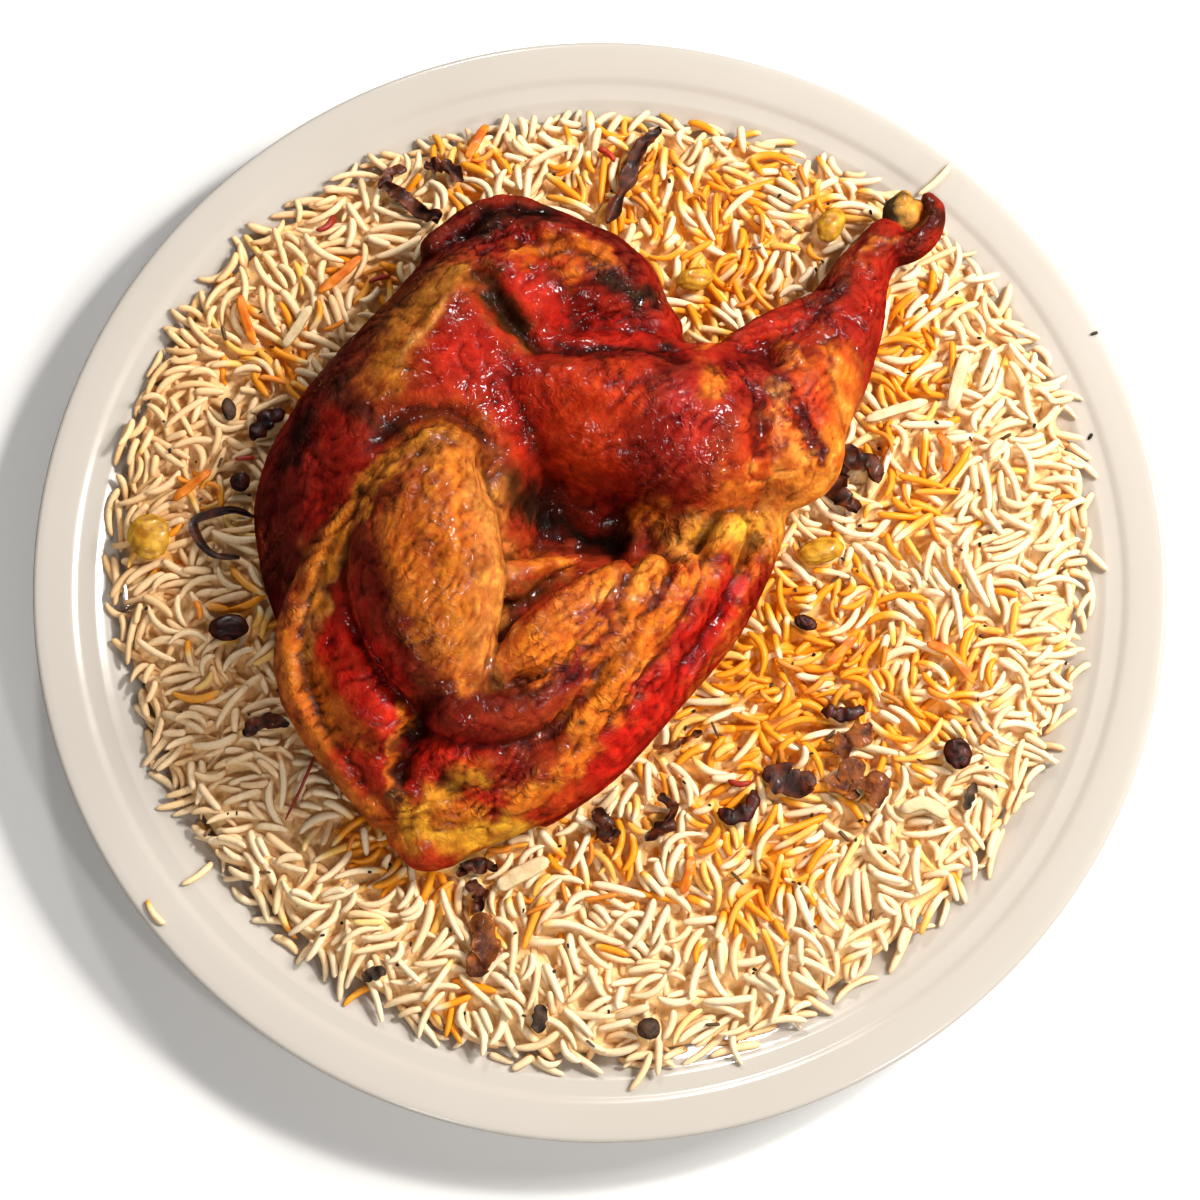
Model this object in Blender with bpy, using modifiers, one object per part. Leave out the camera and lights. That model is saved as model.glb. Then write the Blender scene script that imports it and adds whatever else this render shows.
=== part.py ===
# Chicken mandi: half a roast chicken, its wing folded and its leg stretched out, on a bed
# of long-grain rice with fried onion, raisins, almond slivers, spices and carrot shreds, on
# one round plate. +Z is up, the front of the dish is -Y, and the origin is in the middle of
# the plate on the surface that it stands on.

import math

import bmesh
import bpy
import numpy as np
from mathutils import Vector
from mathutils.bvhtree import BVHTree
from mathutils.geometry import delaunay_2d_cdt

MM = 0.001

# Plate, in mm
PLATE_DIAMETER = 340.0
PLATE_HEIGHT = 24.6
WELL_DEPTH_FLOOR = 6.5
FOOT_RADIUS_OUT = 108.0
FOOT_RADIUS_IN = 103.0
FOOT_HEIGHT = 3.0
PLATE_STEPS = 60

# Rice bed, in mm
RICE_RADIUS = 146.5
RICE_HEIGHT = 27.0
RICE_RISE = 28.0
RICE_EDGE_STEP = 2.3
RICE_ON_PLATE = 0.5
GRAIN_LENGTH = 14.0
GRAIN_BUMP = 1.6
GRAIN_GAP = 0.9
GRAIN_COUNT = 400
VALLEY_COUNT = 760
EDGE_POINTS = 120

# Chicken, in mm
CONTACT_HEIGHT = 27.6
CHICKEN_VOXEL = 2.0
CHICKEN_FACES = 3650
BONE_RADIUS = 6.4
BONE_AT = (92.5, 107.5, 38.5)

# Gap left between touching solids, in mm
GAP = 0.35

PLATE_TOP = (
    (0.0, WELL_DEPTH_FLOOR), (112.0, WELL_DEPTH_FLOOR), (122.0, 8.0), (135.0, 13.0),
    (146.0, 18.5), (150.0, 20.0), (152.0, 21.2), (156.5, 21.6), (158.5, 22.8),
    (166.0, 24.2), (169.0, PLATE_HEIGHT), (PLATE_DIAMETER / 2, 24.0),
)
PLATE_UNDER = (
    (169.6, 22.6), (165.0, 21.4), (158.0, 19.8), (150.0, 17.2), (142.0, 13.0), (130.0, 7.5),
    (118.0, 3.5), (112.0, 2.6), (FOOT_RADIUS_OUT, 0.0), (FOOT_RADIUS_IN, 0.0),
    (100.0, FOOT_HEIGHT), (0.0, FOOT_HEIGHT),
)

# The big lobes of the chicken. Each row is a place along the lobe: x, y and z of its
# middle, then half its width and half its height.
MASSES = {
    "back": (
        (-12, 88, 44, 16, 18), (-24, 77, 45, 26, 25), (-42, 54, 46, 32, 28),
        (-55, 21, 46, 41, 30), (-58, -12, 46, 36, 30), (-57, -41, 44, 33, 26),
        (-51, -67, 40, 24, 19), (-50, -84, 36, 10, 11),
    ),
    "left_flank": (
        (-44, 88, 40, 9, 14), (-59, 67, 40, 11, 17), (-77, 43, 40, 13, 18),
        (-90, 20, 39, 12, 17), (-91, -1, 38, 10, 14), (-86, -22, 37, 8, 12),
    ),
    "shoulder": (
        (-29, 95, 44, 11, 16), (-10, 85, 46, 17, 22), (5, 76, 46, 16, 20), (16, 67, 44, 9, 14),
    ),
    "thigh": (
        (-24, 46, 46, 18, 24), (-3, 41, 48, 25, 27), (19, 36, 48, 27, 27),
        (41, 34, 46, 27, 25), (55, 31, 44, 18, 20),
    ),
    "lower_thigh": ((12, 14, 38, 13, 15), (30, 11, 40, 14, 17), (45, 11, 40, 10, 14)),
    "drumstick": (
        (50, 40, 44, 23, 22), (64, 56, 42, 17, 18), (73, 73, 40, 13, 14),
        (79, 88, 38, 9, 10.5), (87, 100, 37, 7, 8),
    ),
    "valley_floor": ((-24, 12, 38, 17, 14), (6, 7, 38, 17, 14), (27, 2, 37, 14, 13)),
    "hollow_floor": ((-30, -24, 42, 20, 15), (-10, -16, 42, 18, 14), (14, -8, 40, 16, 13)),
    "breast": (
        (20, -11, 42, 15, 16), (4, -33, 44, 22, 20), (-14, -53, 43, 23, 20),
        (-35, -70, 40, 18, 17), (-46, -83, 36, 10, 11),
    ),
}

# Wing, skin strips and flaps that lie on the big lobes, in the same form.
FORMS = {
    "wing_flat": (
        (-44, 21, 67, 11, 15), (-48, 7, 70, 19, 17), (-50, -12, 70, 23, 18.5),
        (-47, -31, 68, 20, 17), (-40, -47, 63, 11, 13),
    ),
    "wing_web": (
        (-49, 24, 72, 5, 9), (-63, 13, 68, 5, 9), (-75, 0, 64, 5, 9), (-84, -16, 60, 5, 9),
        (-89, -32, 56, 5, 9), (-86, -48, 52, 5, 9), (-76, -62, 48, 5, 8), (-63, -77, 42, 5, 7),
    ),
    "wing_crook": (
        (-52, -47, 58, 7, 10), (-37, -53, 62, 8, 12), (-21, -51, 62, 7, 11), (-6, -43, 60, 5, 9),
    ),
    "wing_flake": ((-25, -13, 62, 6, 7), (-16, -9, 61, 3, 5), (-6, -6, 60, 1.5, 3)),
    "wing_feather": (
        (-27, -41, 64, 5, 9), (-17, -32, 66, 9, 10), (-4, -21, 65, 8, 9), (6, -10, 63, 3, 6),
    ),
    "wing_ridge_inner": (
        (-23, -51, 60, 4, 8), (-7, -39, 62, 5, 9), (6, -25, 62, 6, 9), (15, -10, 60, 5, 8),
    ),
    "wing_ridge_mid": (
        (-11, -60, 54, 5, 9), (3, -44, 57, 6, 10), (16, -25, 58, 6, 10), (26, -9, 56, 5, 9),
    ),
    "skin_strip_upper": (
        (38, 4, 52, 5, 9), (30, -13, 52, 6, 10), (16, -33, 52, 7, 10), (1, -50, 51, 7, 10),
        (-14, -66, 48, 6, 9), (-32, -78, 43, 5, 8), (-46, -84, 38, 6, 8),
    ),
    "skin_strip_lower": (
        (50, 7, 40, 5, 11), (43, -8, 40, 6, 12), (32, -25, 40, 7, 12.5), (17, -44, 40, 6, 12),
        (1, -62, 38, 6, 11), (-16, -76, 34, 4, 8),
    ),
    "breast_lobe": ((-73, -33, 54, 12, 12), (-65, -48, 55, 13, 13), (-57, -58, 53, 9, 11)),
    "breast_tip": ((-43, -62, 52, 8, 11), (-31, -64, 52, 9, 11), (-20, -61, 52, 6, 9)),
    "tail_flap": ((-56, -83, 38, 6, 7), (-43, -77, 44, 6, 7), (-27, -74, 46, 5, 6)),
    "neck_edge": (
        (-50, 93, 46, 4, 8), (-39, 101, 46, 5, 9), (-27, 105, 46, 5, 10), (-12, 100, 46, 4, 9),
        (4, 92, 46, 4, 8), (14, 81, 44, 3, 8), (22, 69, 42, 3, 8),
    ),
    "knee_fold": ((41, 60, 52, 5, 7), (55, 68, 49, 6, 8), (68, 76, 45, 5, 7)),
    "ankle_cuff": (
        (88, 96, 37, 5, 7), (95, 97.5, 38, 4.5, 7.5), (100, 102, 39, 4, 7.5),
        (101.5, 107.5, 39.5, 3.5, 6.5), (99.5, 111, 40, 2.5, 5),
    ),
}

# Creases pressed into the skin: the line that each follows, half its width, its depth.
FOLDS = {
    "shoulder_slot": (((-38, 82), (-33, 73), (-28, 65), (-23, 59)), 5, 4.5),
    "shoulder_slot_low": (((-33, 74), (-27, 65), (-21, 58), (-16, 52)), 2.6, 6),
    "shoulder_hem": (((-17, 55), (0, 55), (16, 56), (26, 50)), 4, 4),
    "valley": (((-26, 15), (-13, 8), (1, 3), (14, 2)), 9, 8),
    "web_hollow": (((-56, 15), (-66, -2), (-70, -20), (-67, -33)), 6, 1.2),
    "wing_base": (((-71, -26), (-64, -37), (-54, -49), (-47, -54)), 3, 5),
    "breast_slit": (((-49, -53), (-54, -60), (-58, -72)), 4, 5),
    "thigh_crease_outer": (((47, 46), (55, 39), (61, 30), (63, 23)), 3.5, 3.5),
    "thigh_crease_inner": (((40, 48), (46, 39), (46, 29), (43, 22)), 3.5, 3),
    "thigh_crease_top": (((29, 48), (41, 53), (53, 55)), 4, 2.5),
    "thigh_seam": (((12, 0), (26, -7), (40, -4), (51, 6)), 3, 3),
    "feather_crease": (((-12, -44), (-1, -35), (9, -22)), 3, 3),
    "wing_top": (((-66, 22), (-58, 31), (-44, 34), (-30, 24)), 3, 3),
    "neck_groove": (((-43, 83), (-29, 89), (-12, 87), (4, 79)), 4, 2),
}

# What lies on the rice, long pieces: the line, width, thickness, how crinkled, material.
STRIPS = {
    "onion_north": (((19, 140), (14, 135), (10, 127), (7, 118), (2, 108)), 5, 4.4, 0.30, "onion"),
    "onion_northwest_a": (((-66, 121), (-61, 116), (-54, 111), (-49, 108)), 5, 4, 0.3, "onion"),
    "onion_northwest_b": (((-54, 127), (-48, 126), (-42, 122)), 4.5, 4, 0.3, "onion"),
    "onion_northwest_c": (((-68, 120), (-65, 125), (-60, 127)), 3.4, 3, 0.2, "onion"),
    "onion_east_a": (((72, 37), (76, 33), (81, 31), (85, 26)), 7, 4.6, 0.3, "onion"),
    "onion_east_b": (((73, 31), (70, 26), (71, 20), (76, 16)), 6.5, 4.2, 0.3, "onion"),
    "onion_south_a": (((-1, -74), (2, -79), (5, -83)), 6, 4, 0.3, "onion"),
    "onion_south_b": (((13, -83), (18, -80), (21, -75), (17, -70)), 5, 4, 0.3, "onion"),
    "onion_tail_a": (((-42, -93), (-37, -90), (-30, -91)), 4.5, 3.6, 0.3, "onion"),
    "onion_tail_b": (((-38, -95), (-34, -99), (-36, -104)), 4.5, 3.6, 0.3, "onion"),
    "onion_tail_amber": (((-36, -106), (-32, -112), (-33, -118), (-37, -122)), 8, 3, 0.25, "onion"),
    "onion_flake_dark": (((48, -63), (55, -66), (63, -67)), 9, 2.8, 0.25, "onion"),
    "onion_flake_amber": (((68, -67), (76, -64), (84, -70)), 9, 2.8, 0.25, "onion"),
    "onion_flake_top": (((68, -58), (74, -55), (80, -50)), 6.5, 2.6, 0.25, "onion"),
    "onion_ring_west": (
        ((-104, 15), (-110, 17), (-117, 16), (-122, 13), (-120, 7), (-115, 3), (-108, 2)),
        2.8, 2.4, 0.15, "onion",
    ),
    "onion_southeast": (((17, -57), (23, -54), (30, -51)), 3, 2.6, 0.2, "onion"),
    "onion_southwest": (((-105, -51), (-99, -48), (-92, -49)), 4.5, 3.4, 0.3, "onion"),
    "raisin_curl_south": (((46, -69), (44, -75), (39, -77), (35, -75)), 4.6, 3.8, 0.2, "raisin"),
    "raisin_curl_east": (((65, -44), (71, -46), (78, -44)), 4.2, 3.6, 0.2, "raisin"),
    "raisin_long_west": (((-105, 39), (-101, 44), (-96, 48)), 5.5, 4.6, 0.2, "raisin"),
    "almond_east": (((106, 48), (108, 56), (111, 67)), 4.2, 1.8, 0.05, "almond"),
    "almond_west": (((-96, 68), (-92, 74), (-88, 81)), 3.2, 1.7, 0.05, "almond"),
    "almond_south": (((-30, -97), (-23, -93), (-15, -89)), 5, 1.8, 0.05, "almond"),
    "almond_knee": (((80, 45), (89, 48), (99, 51)), 3.2, 1.7, 0.05, "almond"),
    "almond_southeast": (((88, -74), (95, -72), (102, -76)), 4.2, 2.4, 0.05, "almond"),
    "bark_south": (((-17, -131), (-18, -139)), 4.2, 2.2, 0.15, "spice"),
    "bark_southwest": (((-69, -123), (-62, -121)), 3.8, 2.4, 0.15, "spice"),
    "bark_southeast": (((110, -66), (107, -74)), 2.8, 2.0, 0.1, "spice"),
    "carrot_west_a": (((-110, 85), (-108, 77), (-105, 69)), 3, 1.8, 0.08, "carrot"),
    "carrot_west_b": (((-86, 85), (-80, 90), (-73, 97)), 3, 1.8, 0.08, "carrot"),
    "carrot_west_d": (((-128, 20), (-123, 24), (-117, 29)), 3, 1.8, 0.08, "carrot"),
    "carrot_north_b": (((-41, 129), (-38, 135), (-35, 142)), 3, 1.8, 0.08, "carrot"),
    "carrot_east_b": (((102, 41), (105, 36), (104, 29)), 3, 1.8, 0.08, "carrot"),
    "carrot_east_c": (((97, -24), (104, -27), (111, -36)), 3, 1.8, 0.08, "carrot"),
    "carrot_south": (((27, -88), (26, -93), (24, -99)), 3, 1.8, 0.08, "carrot"),
    "carrot_southeast": (((67, -31), (71, -27), (76, -22)), 3, 1.8, 0.08, "carrot"),
}

# Round pieces: x, y, length, width, height, which way it points in degrees, material.
BERRIES = {
    "raisin_west": (-110, -20, 12, 8, 6, 5, "raisin"),
    "raisin_southeast": (105, -58, 8, 10, 6, 10, "raisin"),
    "raisin_far_west": (-108, 25, 6, 6, 5, 0, "raisin"),
    "raisin_east": (61, -18, 7, 4.5, 4.5, -20, "raisin"),
    "clove_west": (-112, 48, 4.4, 7, 4.2, 12, "spice"),
    "peppercorn_south": (14, -138, 7, 6.5, 5, 0, "spice"),
    "golden_raisin_north": (29, 89, 11, 7.5, 6, 10, "golden_raisin"),
    "golden_raisin_northeast": (71, 107, 8, 12, 6, -25, "golden_raisin"),
    "golden_raisin_west": (-135, 8, 12.5, 14.5, 6, 10, "golden_raisin"),
    "golden_raisin_east": (66, 4, 13.5, 8, 6, 15, "golden_raisin"),
}

COLOURS = {
    "plate": (0.80, 0.76, 0.70),
    "rice": (0.80, 0.72, 0.56),
    "chicken": (0.42, 0.07, 0.02),
    "bone": (0.52, 0.36, 0.14),
    "onion": (0.10, 0.03, 0.015),
    "raisin": (0.035, 0.010, 0.010),
    "golden_raisin": (0.60, 0.38, 0.08),
    "almond": (0.80, 0.68, 0.40),
    "spice": (0.05, 0.025, 0.015),
    "carrot": (0.80, 0.20, 0.02),
}

rng = np.random.default_rng(11)

for thing in list(bpy.data.objects):
    bpy.data.objects.remove(thing)

scene = bpy.context.scene
scene.unit_settings.system = "METRIC"
dish = bpy.data.collections.new("chicken_mandi")
scene.collection.children.link(dish)


def material(name):
    made = bpy.data.materials.get(name)
    if made is None:
        made = bpy.data.materials.new(name)
        made.use_nodes = True
        shader = made.node_tree.nodes["Principled BSDF"]
        shader.inputs["Base Color"].default_value = (*COLOURS[name], 1.0)
        shader.inputs["Roughness"].default_value = 0.25 if name in ("plate", "chicken") else 0.5
        made.diffuse_color = (*COLOURS[name], 1.0)
    return made


def add_object(name, mesh, slot):
    thing = bpy.data.objects.new(name, mesh)
    thing.data.materials.append(material(slot))
    dish.objects.link(thing)
    return thing


def mesh_from(name, points, faces):
    mesh = bpy.data.meshes.new(name)
    mesh.from_pydata([tuple(p * MM) for p in points], [], [tuple(int(i) for i in f) for f in faces])
    mesh.validate()
    return mesh


def points_of(mesh):
    flat = np.empty(len(mesh.vertices) * 3)
    mesh.vertices.foreach_get("co", flat)
    return flat.reshape(-1, 3) / MM


def normals_of(mesh):
    flat = np.empty(len(mesh.vertices) * 3)
    mesh.vertices.foreach_get("normal", flat)
    return flat.reshape(-1, 3)


def move_points(mesh, points):
    mesh.vertices.foreach_set("co", (points * MM).ravel())
    mesh.update()


def apply_modifiers(thing):
    graph = bpy.context.evaluated_depsgraph_get()
    made = bpy.data.meshes.new_from_object(thing.evaluated_get(graph))
    thing.modifiers.clear()
    old = thing.data
    thing.data = made
    bpy.data.meshes.remove(old)


def tree_of(mesh):
    """Search tree of a mesh, in mm."""
    mesh.calc_loop_triangles()
    corners = [tuple(t.vertices) for t in mesh.loop_triangles]
    return BVHTree.FromPolygons([Vector(p) for p in points_of(mesh)], corners)


def smooth_line(rows, count):
    """Points along a curve that passes through every row, evenly spread by row."""
    rows = np.array(rows, float)
    if len(rows) == 2:
        return rows[0] + np.linspace(0, 1, count)[:, None] * (rows[1] - rows[0])
    ends = np.vstack([2 * rows[0] - rows[1], rows, 2 * rows[-1] - rows[-2]])
    at = np.linspace(0, len(rows) - 1, count)
    first = np.minimum(at.astype(int), len(rows) - 2)
    t = (at - first)[:, None]
    a, b, c, d = (ends[first + k] for k in range(4))
    return 0.5 * (2 * b + (c - a) * t + (2 * a - 5 * b + 4 * c - d) * t**2 + (3 * b - a - 3 * c + d) * t**3)


def loft(rings):
    """Closed mesh through rings of equal count, with a point at each end."""
    count, sides = len(rings), len(rings[0])
    points = [p for ring in rings for p in ring]
    faces = []
    for k in range(count - 1):
        for s in range(sides):
            n = (s + 1) % sides
            faces.append((k * sides + s, k * sides + n, (k + 1) * sides + n, (k + 1) * sides + s))
    first, last = len(points), len(points) + 1
    points += [np.mean(rings[0], axis=0), np.mean(rings[-1], axis=0)]
    for s in range(sides):
        n = (s + 1) % sides
        faces.append((first, n, s))
        faces.append((last, (count - 1) * sides + s, (count - 1) * sides + n))
    return points, faces


def lobe(rows, steps, sides=16):
    """Rounded body along a line of rows x, y, z, half width, half height."""
    line = smooth_line(rows, steps)
    centre, width, height = line[:, :3], line[:, 3], line[:, 4]
    along = np.gradient(centre, axis=0)
    along[:, 2] = 0
    along /= np.linalg.norm(along, axis=1)[:, None]
    places = [(centre[0] - along[0] * width[0] * math.sin(a), along[0], width[0], height[0], math.cos(a))
              for a in (1.35, 0.95, 0.5)]
    places += [(centre[k], along[k], width[k], height[k], 1.0) for k in range(steps)]
    places += [(centre[-1] + along[-1] * width[-1] * math.sin(a), along[-1], width[-1], height[-1],
                math.cos(a)) for a in (0.5, 0.95, 1.35)]
    turn = np.linspace(0, 2 * math.pi, sides, endpoint=False)
    rings = []
    for middle, ahead, wide, high, share in places:
        side = np.array((-ahead[1], ahead[0], 0.0))
        up = np.array((0.0, 0.0, 1.0))
        rings.append(middle + share * (wide * np.cos(turn)[:, None] * side
                                       + high * np.sin(turn)[:, None] * up))
    return loft(rings)


def joined_lobes(name, table, steps=14):
    points, faces = [], []
    for rows in table.values():
        more, sides = lobe(rows, steps)
        faces += [tuple(i + len(points) for i in face) for face in sides]
        points += more
    return mesh_from(name, np.array(points), faces)


def distance_to_line(points, line):
    """Distance in plan of every point to a line, and how far along the line it is, 0 to 1."""
    near = np.full(len(points), 1e9)
    share = np.zeros(len(points))
    for k in range(len(line) - 1):
        run = line[k + 1] - line[k]
        t = np.clip(((points - line[k]) @ run) / (run @ run), 0, 1)
        gap = np.linalg.norm(points - line[k] - t[:, None] * run, axis=1)
        closer = gap < near
        near[closer] = gap[closer]
        share[closer] = (k + t[closer]) / (len(line) - 1)
    return near, share


def remesh(thing, voxel, smooth_steps):
    change = thing.modifiers.new("voxels", "REMESH")
    change.mode = "VOXEL"
    change.voxel_size = voxel * MM
    if smooth_steps:
        soften = thing.modifiers.new("soften", "SMOOTH")
        soften.factor = 0.5
        soften.iterations = smooth_steps
    apply_modifiers(thing)


def build_chicken():
    bird = add_object("chicken", joined_lobes("chicken_masses", MASSES), "chicken")
    remesh(bird, CHICKEN_VOXEL, 8)
    forms = add_object("forms", joined_lobes("chicken_forms", FORMS), "chicken")
    both = bmesh.new()
    both.from_mesh(bird.data)
    both.from_mesh(forms.data)
    both.to_mesh(bird.data)
    both.free()
    bpy.data.objects.remove(forms)
    remesh(bird, CHICKEN_VOXEL, 2)
    points, normals = points_of(bird.data), normals_of(bird.data)
    drop = np.zeros(len(points))
    for line, width, depth in FOLDS.values():
        near, share = distance_to_line(points[:, :2], smooth_line(line, 9))
        fade = np.clip(np.minimum(share, 1 - share) * 6 + 0.15, 0, 1)
        drop += depth * fade * np.exp(-(near / width) ** 2)
    points[:, 2] -= drop * np.clip(normals[:, 2] * 1.6 + 0.2, 0, 1)
    x, y = points[:, 0], points[:, 1]
    lumps = (np.sin(x / 5.1 + 1.7 * np.sin(y / 9.0)) * np.sin(y / 6.3 + 1.3 * np.sin(x / 8.0))
             + 0.6 * np.sin(x / 3.1 - y / 3.7))
    points += normals * (0.45 * lumps * np.clip(normals[:, 2] + 0.3, 0, 1))[:, None]
    points[:, 2] = np.maximum(points[:, 2], CONTACT_HEIGHT)
    move_points(bird.data, points)
    fewer = bird.modifiers.new("fewer", "DECIMATE")
    bird.data.calc_loop_triangles()
    fewer.ratio = CHICKEN_FACES / len(bird.data.loop_triangles)
    fewer.use_collapse_triangulate = True
    apply_modifiers(bird)
    points = points_of(bird.data)
    points[:, 2] = np.maximum(points[:, 2], CONTACT_HEIGHT)
    move_points(bird.data, points)
    return bird


def knob(name, grow):
    """End of the leg bone: two rounded heads with a groove between them."""
    shape = bmesh.new()
    bmesh.ops.create_uvsphere(shape, u_segments=12, v_segments=8, radius=1.0)
    ahead = np.array((0.62, 0.78, 0.10))
    ahead /= np.linalg.norm(ahead)
    side = np.array((-ahead[1], ahead[0], 0.0))
    side /= np.linalg.norm(side)
    up = np.cross(ahead, side)
    for corner in shape.verts:
        x, y, z = corner.co
        reach = BONE_RADIUS * (1.0 - 0.16 * math.exp(-(y / 0.3) ** 2) * max(x, 0.0)) + grow
        spot = reach * (1.15 * x * ahead + 1.0 * y * side + 0.85 * z * up)
        corner.co = Vector((np.array(BONE_AT) + spot) * MM)
    mesh = bpy.data.meshes.new(name)
    shape.to_mesh(mesh)
    shape.free()
    return mesh


def build_plate():
    profile = PLATE_TOP + PLATE_UNDER
    mesh = bpy.data.meshes.new("plate")
    corners = [(r * MM, 0.0, z * MM) for r, z in profile]
    mesh.from_pydata(corners, [(k, k + 1) for k in range(len(corners) - 1)], [])
    plate = add_object("plate", mesh, "plate")
    turn = plate.modifiers.new("turn", "SCREW")
    turn.axis = "Z"
    turn.steps = PLATE_STEPS
    turn.render_steps = PLATE_STEPS
    turn.use_merge_vertices = True
    turn.merge_threshold = 0.00005
    turn.use_smooth_shade = True
    return plate


def plate_height(radius):
    rows = np.array(PLATE_TOP)
    return np.interp(radius, rows[:, 0], rows[:, 1])


def rice_edge(angle):
    return RICE_RADIUS + 3.0 * np.cos(3 * angle - math.radians(90)) + 2.0 * np.cos(angle - math.radians(80))


def rice_height(x, y):
    """Height of the heap, a flat top that falls faster near its edge, with low waves."""
    x, y = np.asarray(x, float), np.asarray(y, float)
    radius, angle = np.hypot(x, y), np.arctan2(y, x)
    edge = rice_edge(angle)
    low = plate_height(edge) + RICE_EDGE_STEP
    inside = np.clip((edge - radius) / RICE_RISE, 0, 1)
    waves = 0.8 * np.sin(x / 17 + 0.6) * np.cos(y / 14 - 0.4) + 0.4 * np.sin(x / 8.5 - y / 10)
    return low + (RICE_HEIGHT - low) * np.sqrt(1 - (1 - inside) ** 2) + waves * inside


def build_rice(above):
    """One solid heap. Its top has a crest for each grain and a low point between grains, and
    stays under whatever lies on it."""
    turn = np.linspace(0, 2 * math.pi, EDGE_POINTS, endpoint=False)
    outline = rice_edge(turn) + rng.uniform(-2.4, 2.0, EDGE_POINTS)
    rim = np.c_[outline * np.cos(turn), outline * np.sin(turn)]
    bird = above[0]
    spots, lifts, used = [], [], []

    def covered(x, y):
        return bird.ray_cast(Vector((x, y, 0)), Vector((0, 0, 1)), 60)[0] is not None

    def near_used(p, gap):
        return used and np.min(np.hypot(*(np.array(used) - p).T)) < gap

    tries = 0
    grains = 0
    while grains < GRAIN_COUNT and tries < 6000:
        tries += 1
        radius = math.sqrt(rng.uniform(0, 1)) * (RICE_RADIUS + 1)
        angle = rng.uniform(0, 2 * math.pi)
        middle = np.array((radius * math.cos(angle), radius * math.sin(angle)))
        if radius > rice_edge(angle) - 5 or near_used(middle, 5.2):
            continue
        if covered(*middle) and rng.uniform() < 0.9:
            continue
        lean = rng.uniform(0, math.pi)
        reach = GRAIN_LENGTH * 0.36 * np.array((math.cos(lean), math.sin(lean)))
        three = [middle - reach, middle, middle + reach]
        if any(np.hypot(*p) > rice_edge(math.atan2(p[1], p[0])) - 3.5 or near_used(p, 2.6) for p in three):
            continue
        bump = GRAIN_BUMP * rng.uniform(0.7, 1.25)
        spots += three
        lifts += [bump * 0.7, bump, bump * 0.7]
        used += three
        grains += 1
    valleys = 0
    for trial in range(16000):
        radius = math.sqrt(rng.uniform(0, 1)) * (RICE_RADIUS + 1)
        angle = rng.uniform(0, 2 * math.pi)
        middle = np.array((radius * math.cos(angle), radius * math.sin(angle)))
        gap = 12.0 if covered(*middle) else 3.3
        if radius > rice_edge(angle) - 3.5 or near_used(middle, gap):
            continue
        spots.append(middle)
        used.append(middle)
        lifts.append(-GRAIN_GAP * rng.uniform(0.6, 1.3))
        valleys += 1
        if valleys >= VALLEY_COUNT:
            break
    flat = [Vector(p) for p in rim] + [Vector(p) for p in spots]
    loop = [(k, (k + 1) % EDGE_POINTS) for k in range(EDGE_POINTS)]
    top, _, top_faces, *_ = delaunay_2d_cdt(flat, loop, [], 1, 1e-4)
    top = np.array([tuple(p) for p in top])
    lift = np.array([0.0] * EDGE_POINTS + lifts)
    height = rice_height(top[:, 0], top[:, 1]) + lift
    height[:EDGE_POINTS] = plate_height(outline) + RICE_EDGE_STEP + rng.uniform(-0.5, 1.0, EDGE_POINTS)
    top = np.c_[top, height]
    for tree in above:
        for k, p in enumerate(top):
            hit = tree.ray_cast(Vector((p[0], p[1], 0)), Vector((0, 0, 1)), 60)[0]
            if hit is not None:
                top[k, 2] = min(top[k, 2], hit.z - 0.6)
    corners = [tuple(f) for f in top_faces]
    for trial in range(60):
        raised = BVHTree.FromPolygons([Vector((p[0], p[1], p[2] + GAP)) for p in top], corners)
        low = {i for tree in above for pair in raised.overlap(tree) for i in corners[pair[0]]
               if i >= EDGE_POINTS}
        if not low:
            break
        top[sorted(low), 2] -= 0.3
    rings = np.linspace(0, 2 * math.pi, PLATE_STEPS, endpoint=False)
    under = [tuple(p) for p in rim]
    for radius in (135.0, 122.0, 112.0):
        under += [(radius * math.cos(a), radius * math.sin(a)) for a in rings]
    under.append((0.0, 0.0))
    base, _, base_faces, *_ = delaunay_2d_cdt([Vector(p) for p in under], loop, [], 1, 1e-4)
    base = np.array([tuple(p) for p in base])
    base = np.c_[base, plate_height(np.hypot(base[:, 0], base[:, 1]) / math.cos(math.pi / PLATE_STEPS))
                 + RICE_ON_PLATE]
    count = len(top)
    faces = corners + [tuple(count + i for i in reversed(f)) for f in base_faces]
    for k, n in loop:
        faces.append((k, count + k, count + n, n))
    return add_object("rice", mesh_from("rice", np.vstack([top, base]), faces), "rice")


def top_under(trees, x, y):
    """Height of the highest thing in the trees at a place, or a low number."""
    best = -1.0
    for tree in trees:
        hit = tree.ray_cast(Vector((x, y, 200)), Vector((0, 0, -1)), 400)[0]
        if hit is not None:
            best = max(best, hit.z)
    return best


def clear_of_bird(line, half, bird):
    """Moves the points of a line sideways until none is nearer the chicken than half."""
    line = line.copy()
    for trial in range(30):
        for k, p in enumerate(line):
            spot = Vector((p[0], p[1], float(rice_height(p[0], p[1])) + half * 0.6))
            near, normal, _, gap = bird.find_nearest(spot)
            inside = (spot - near).dot(normal) < 0
            if inside or gap < half + 0.8:
                away = Vector((normal.x, normal.y))
                if away.length < 0.2:
                    away = Vector((p[0] + 40, p[1]))
                line[k] += np.array(away.normalized()) * 0.6
    return line


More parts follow.
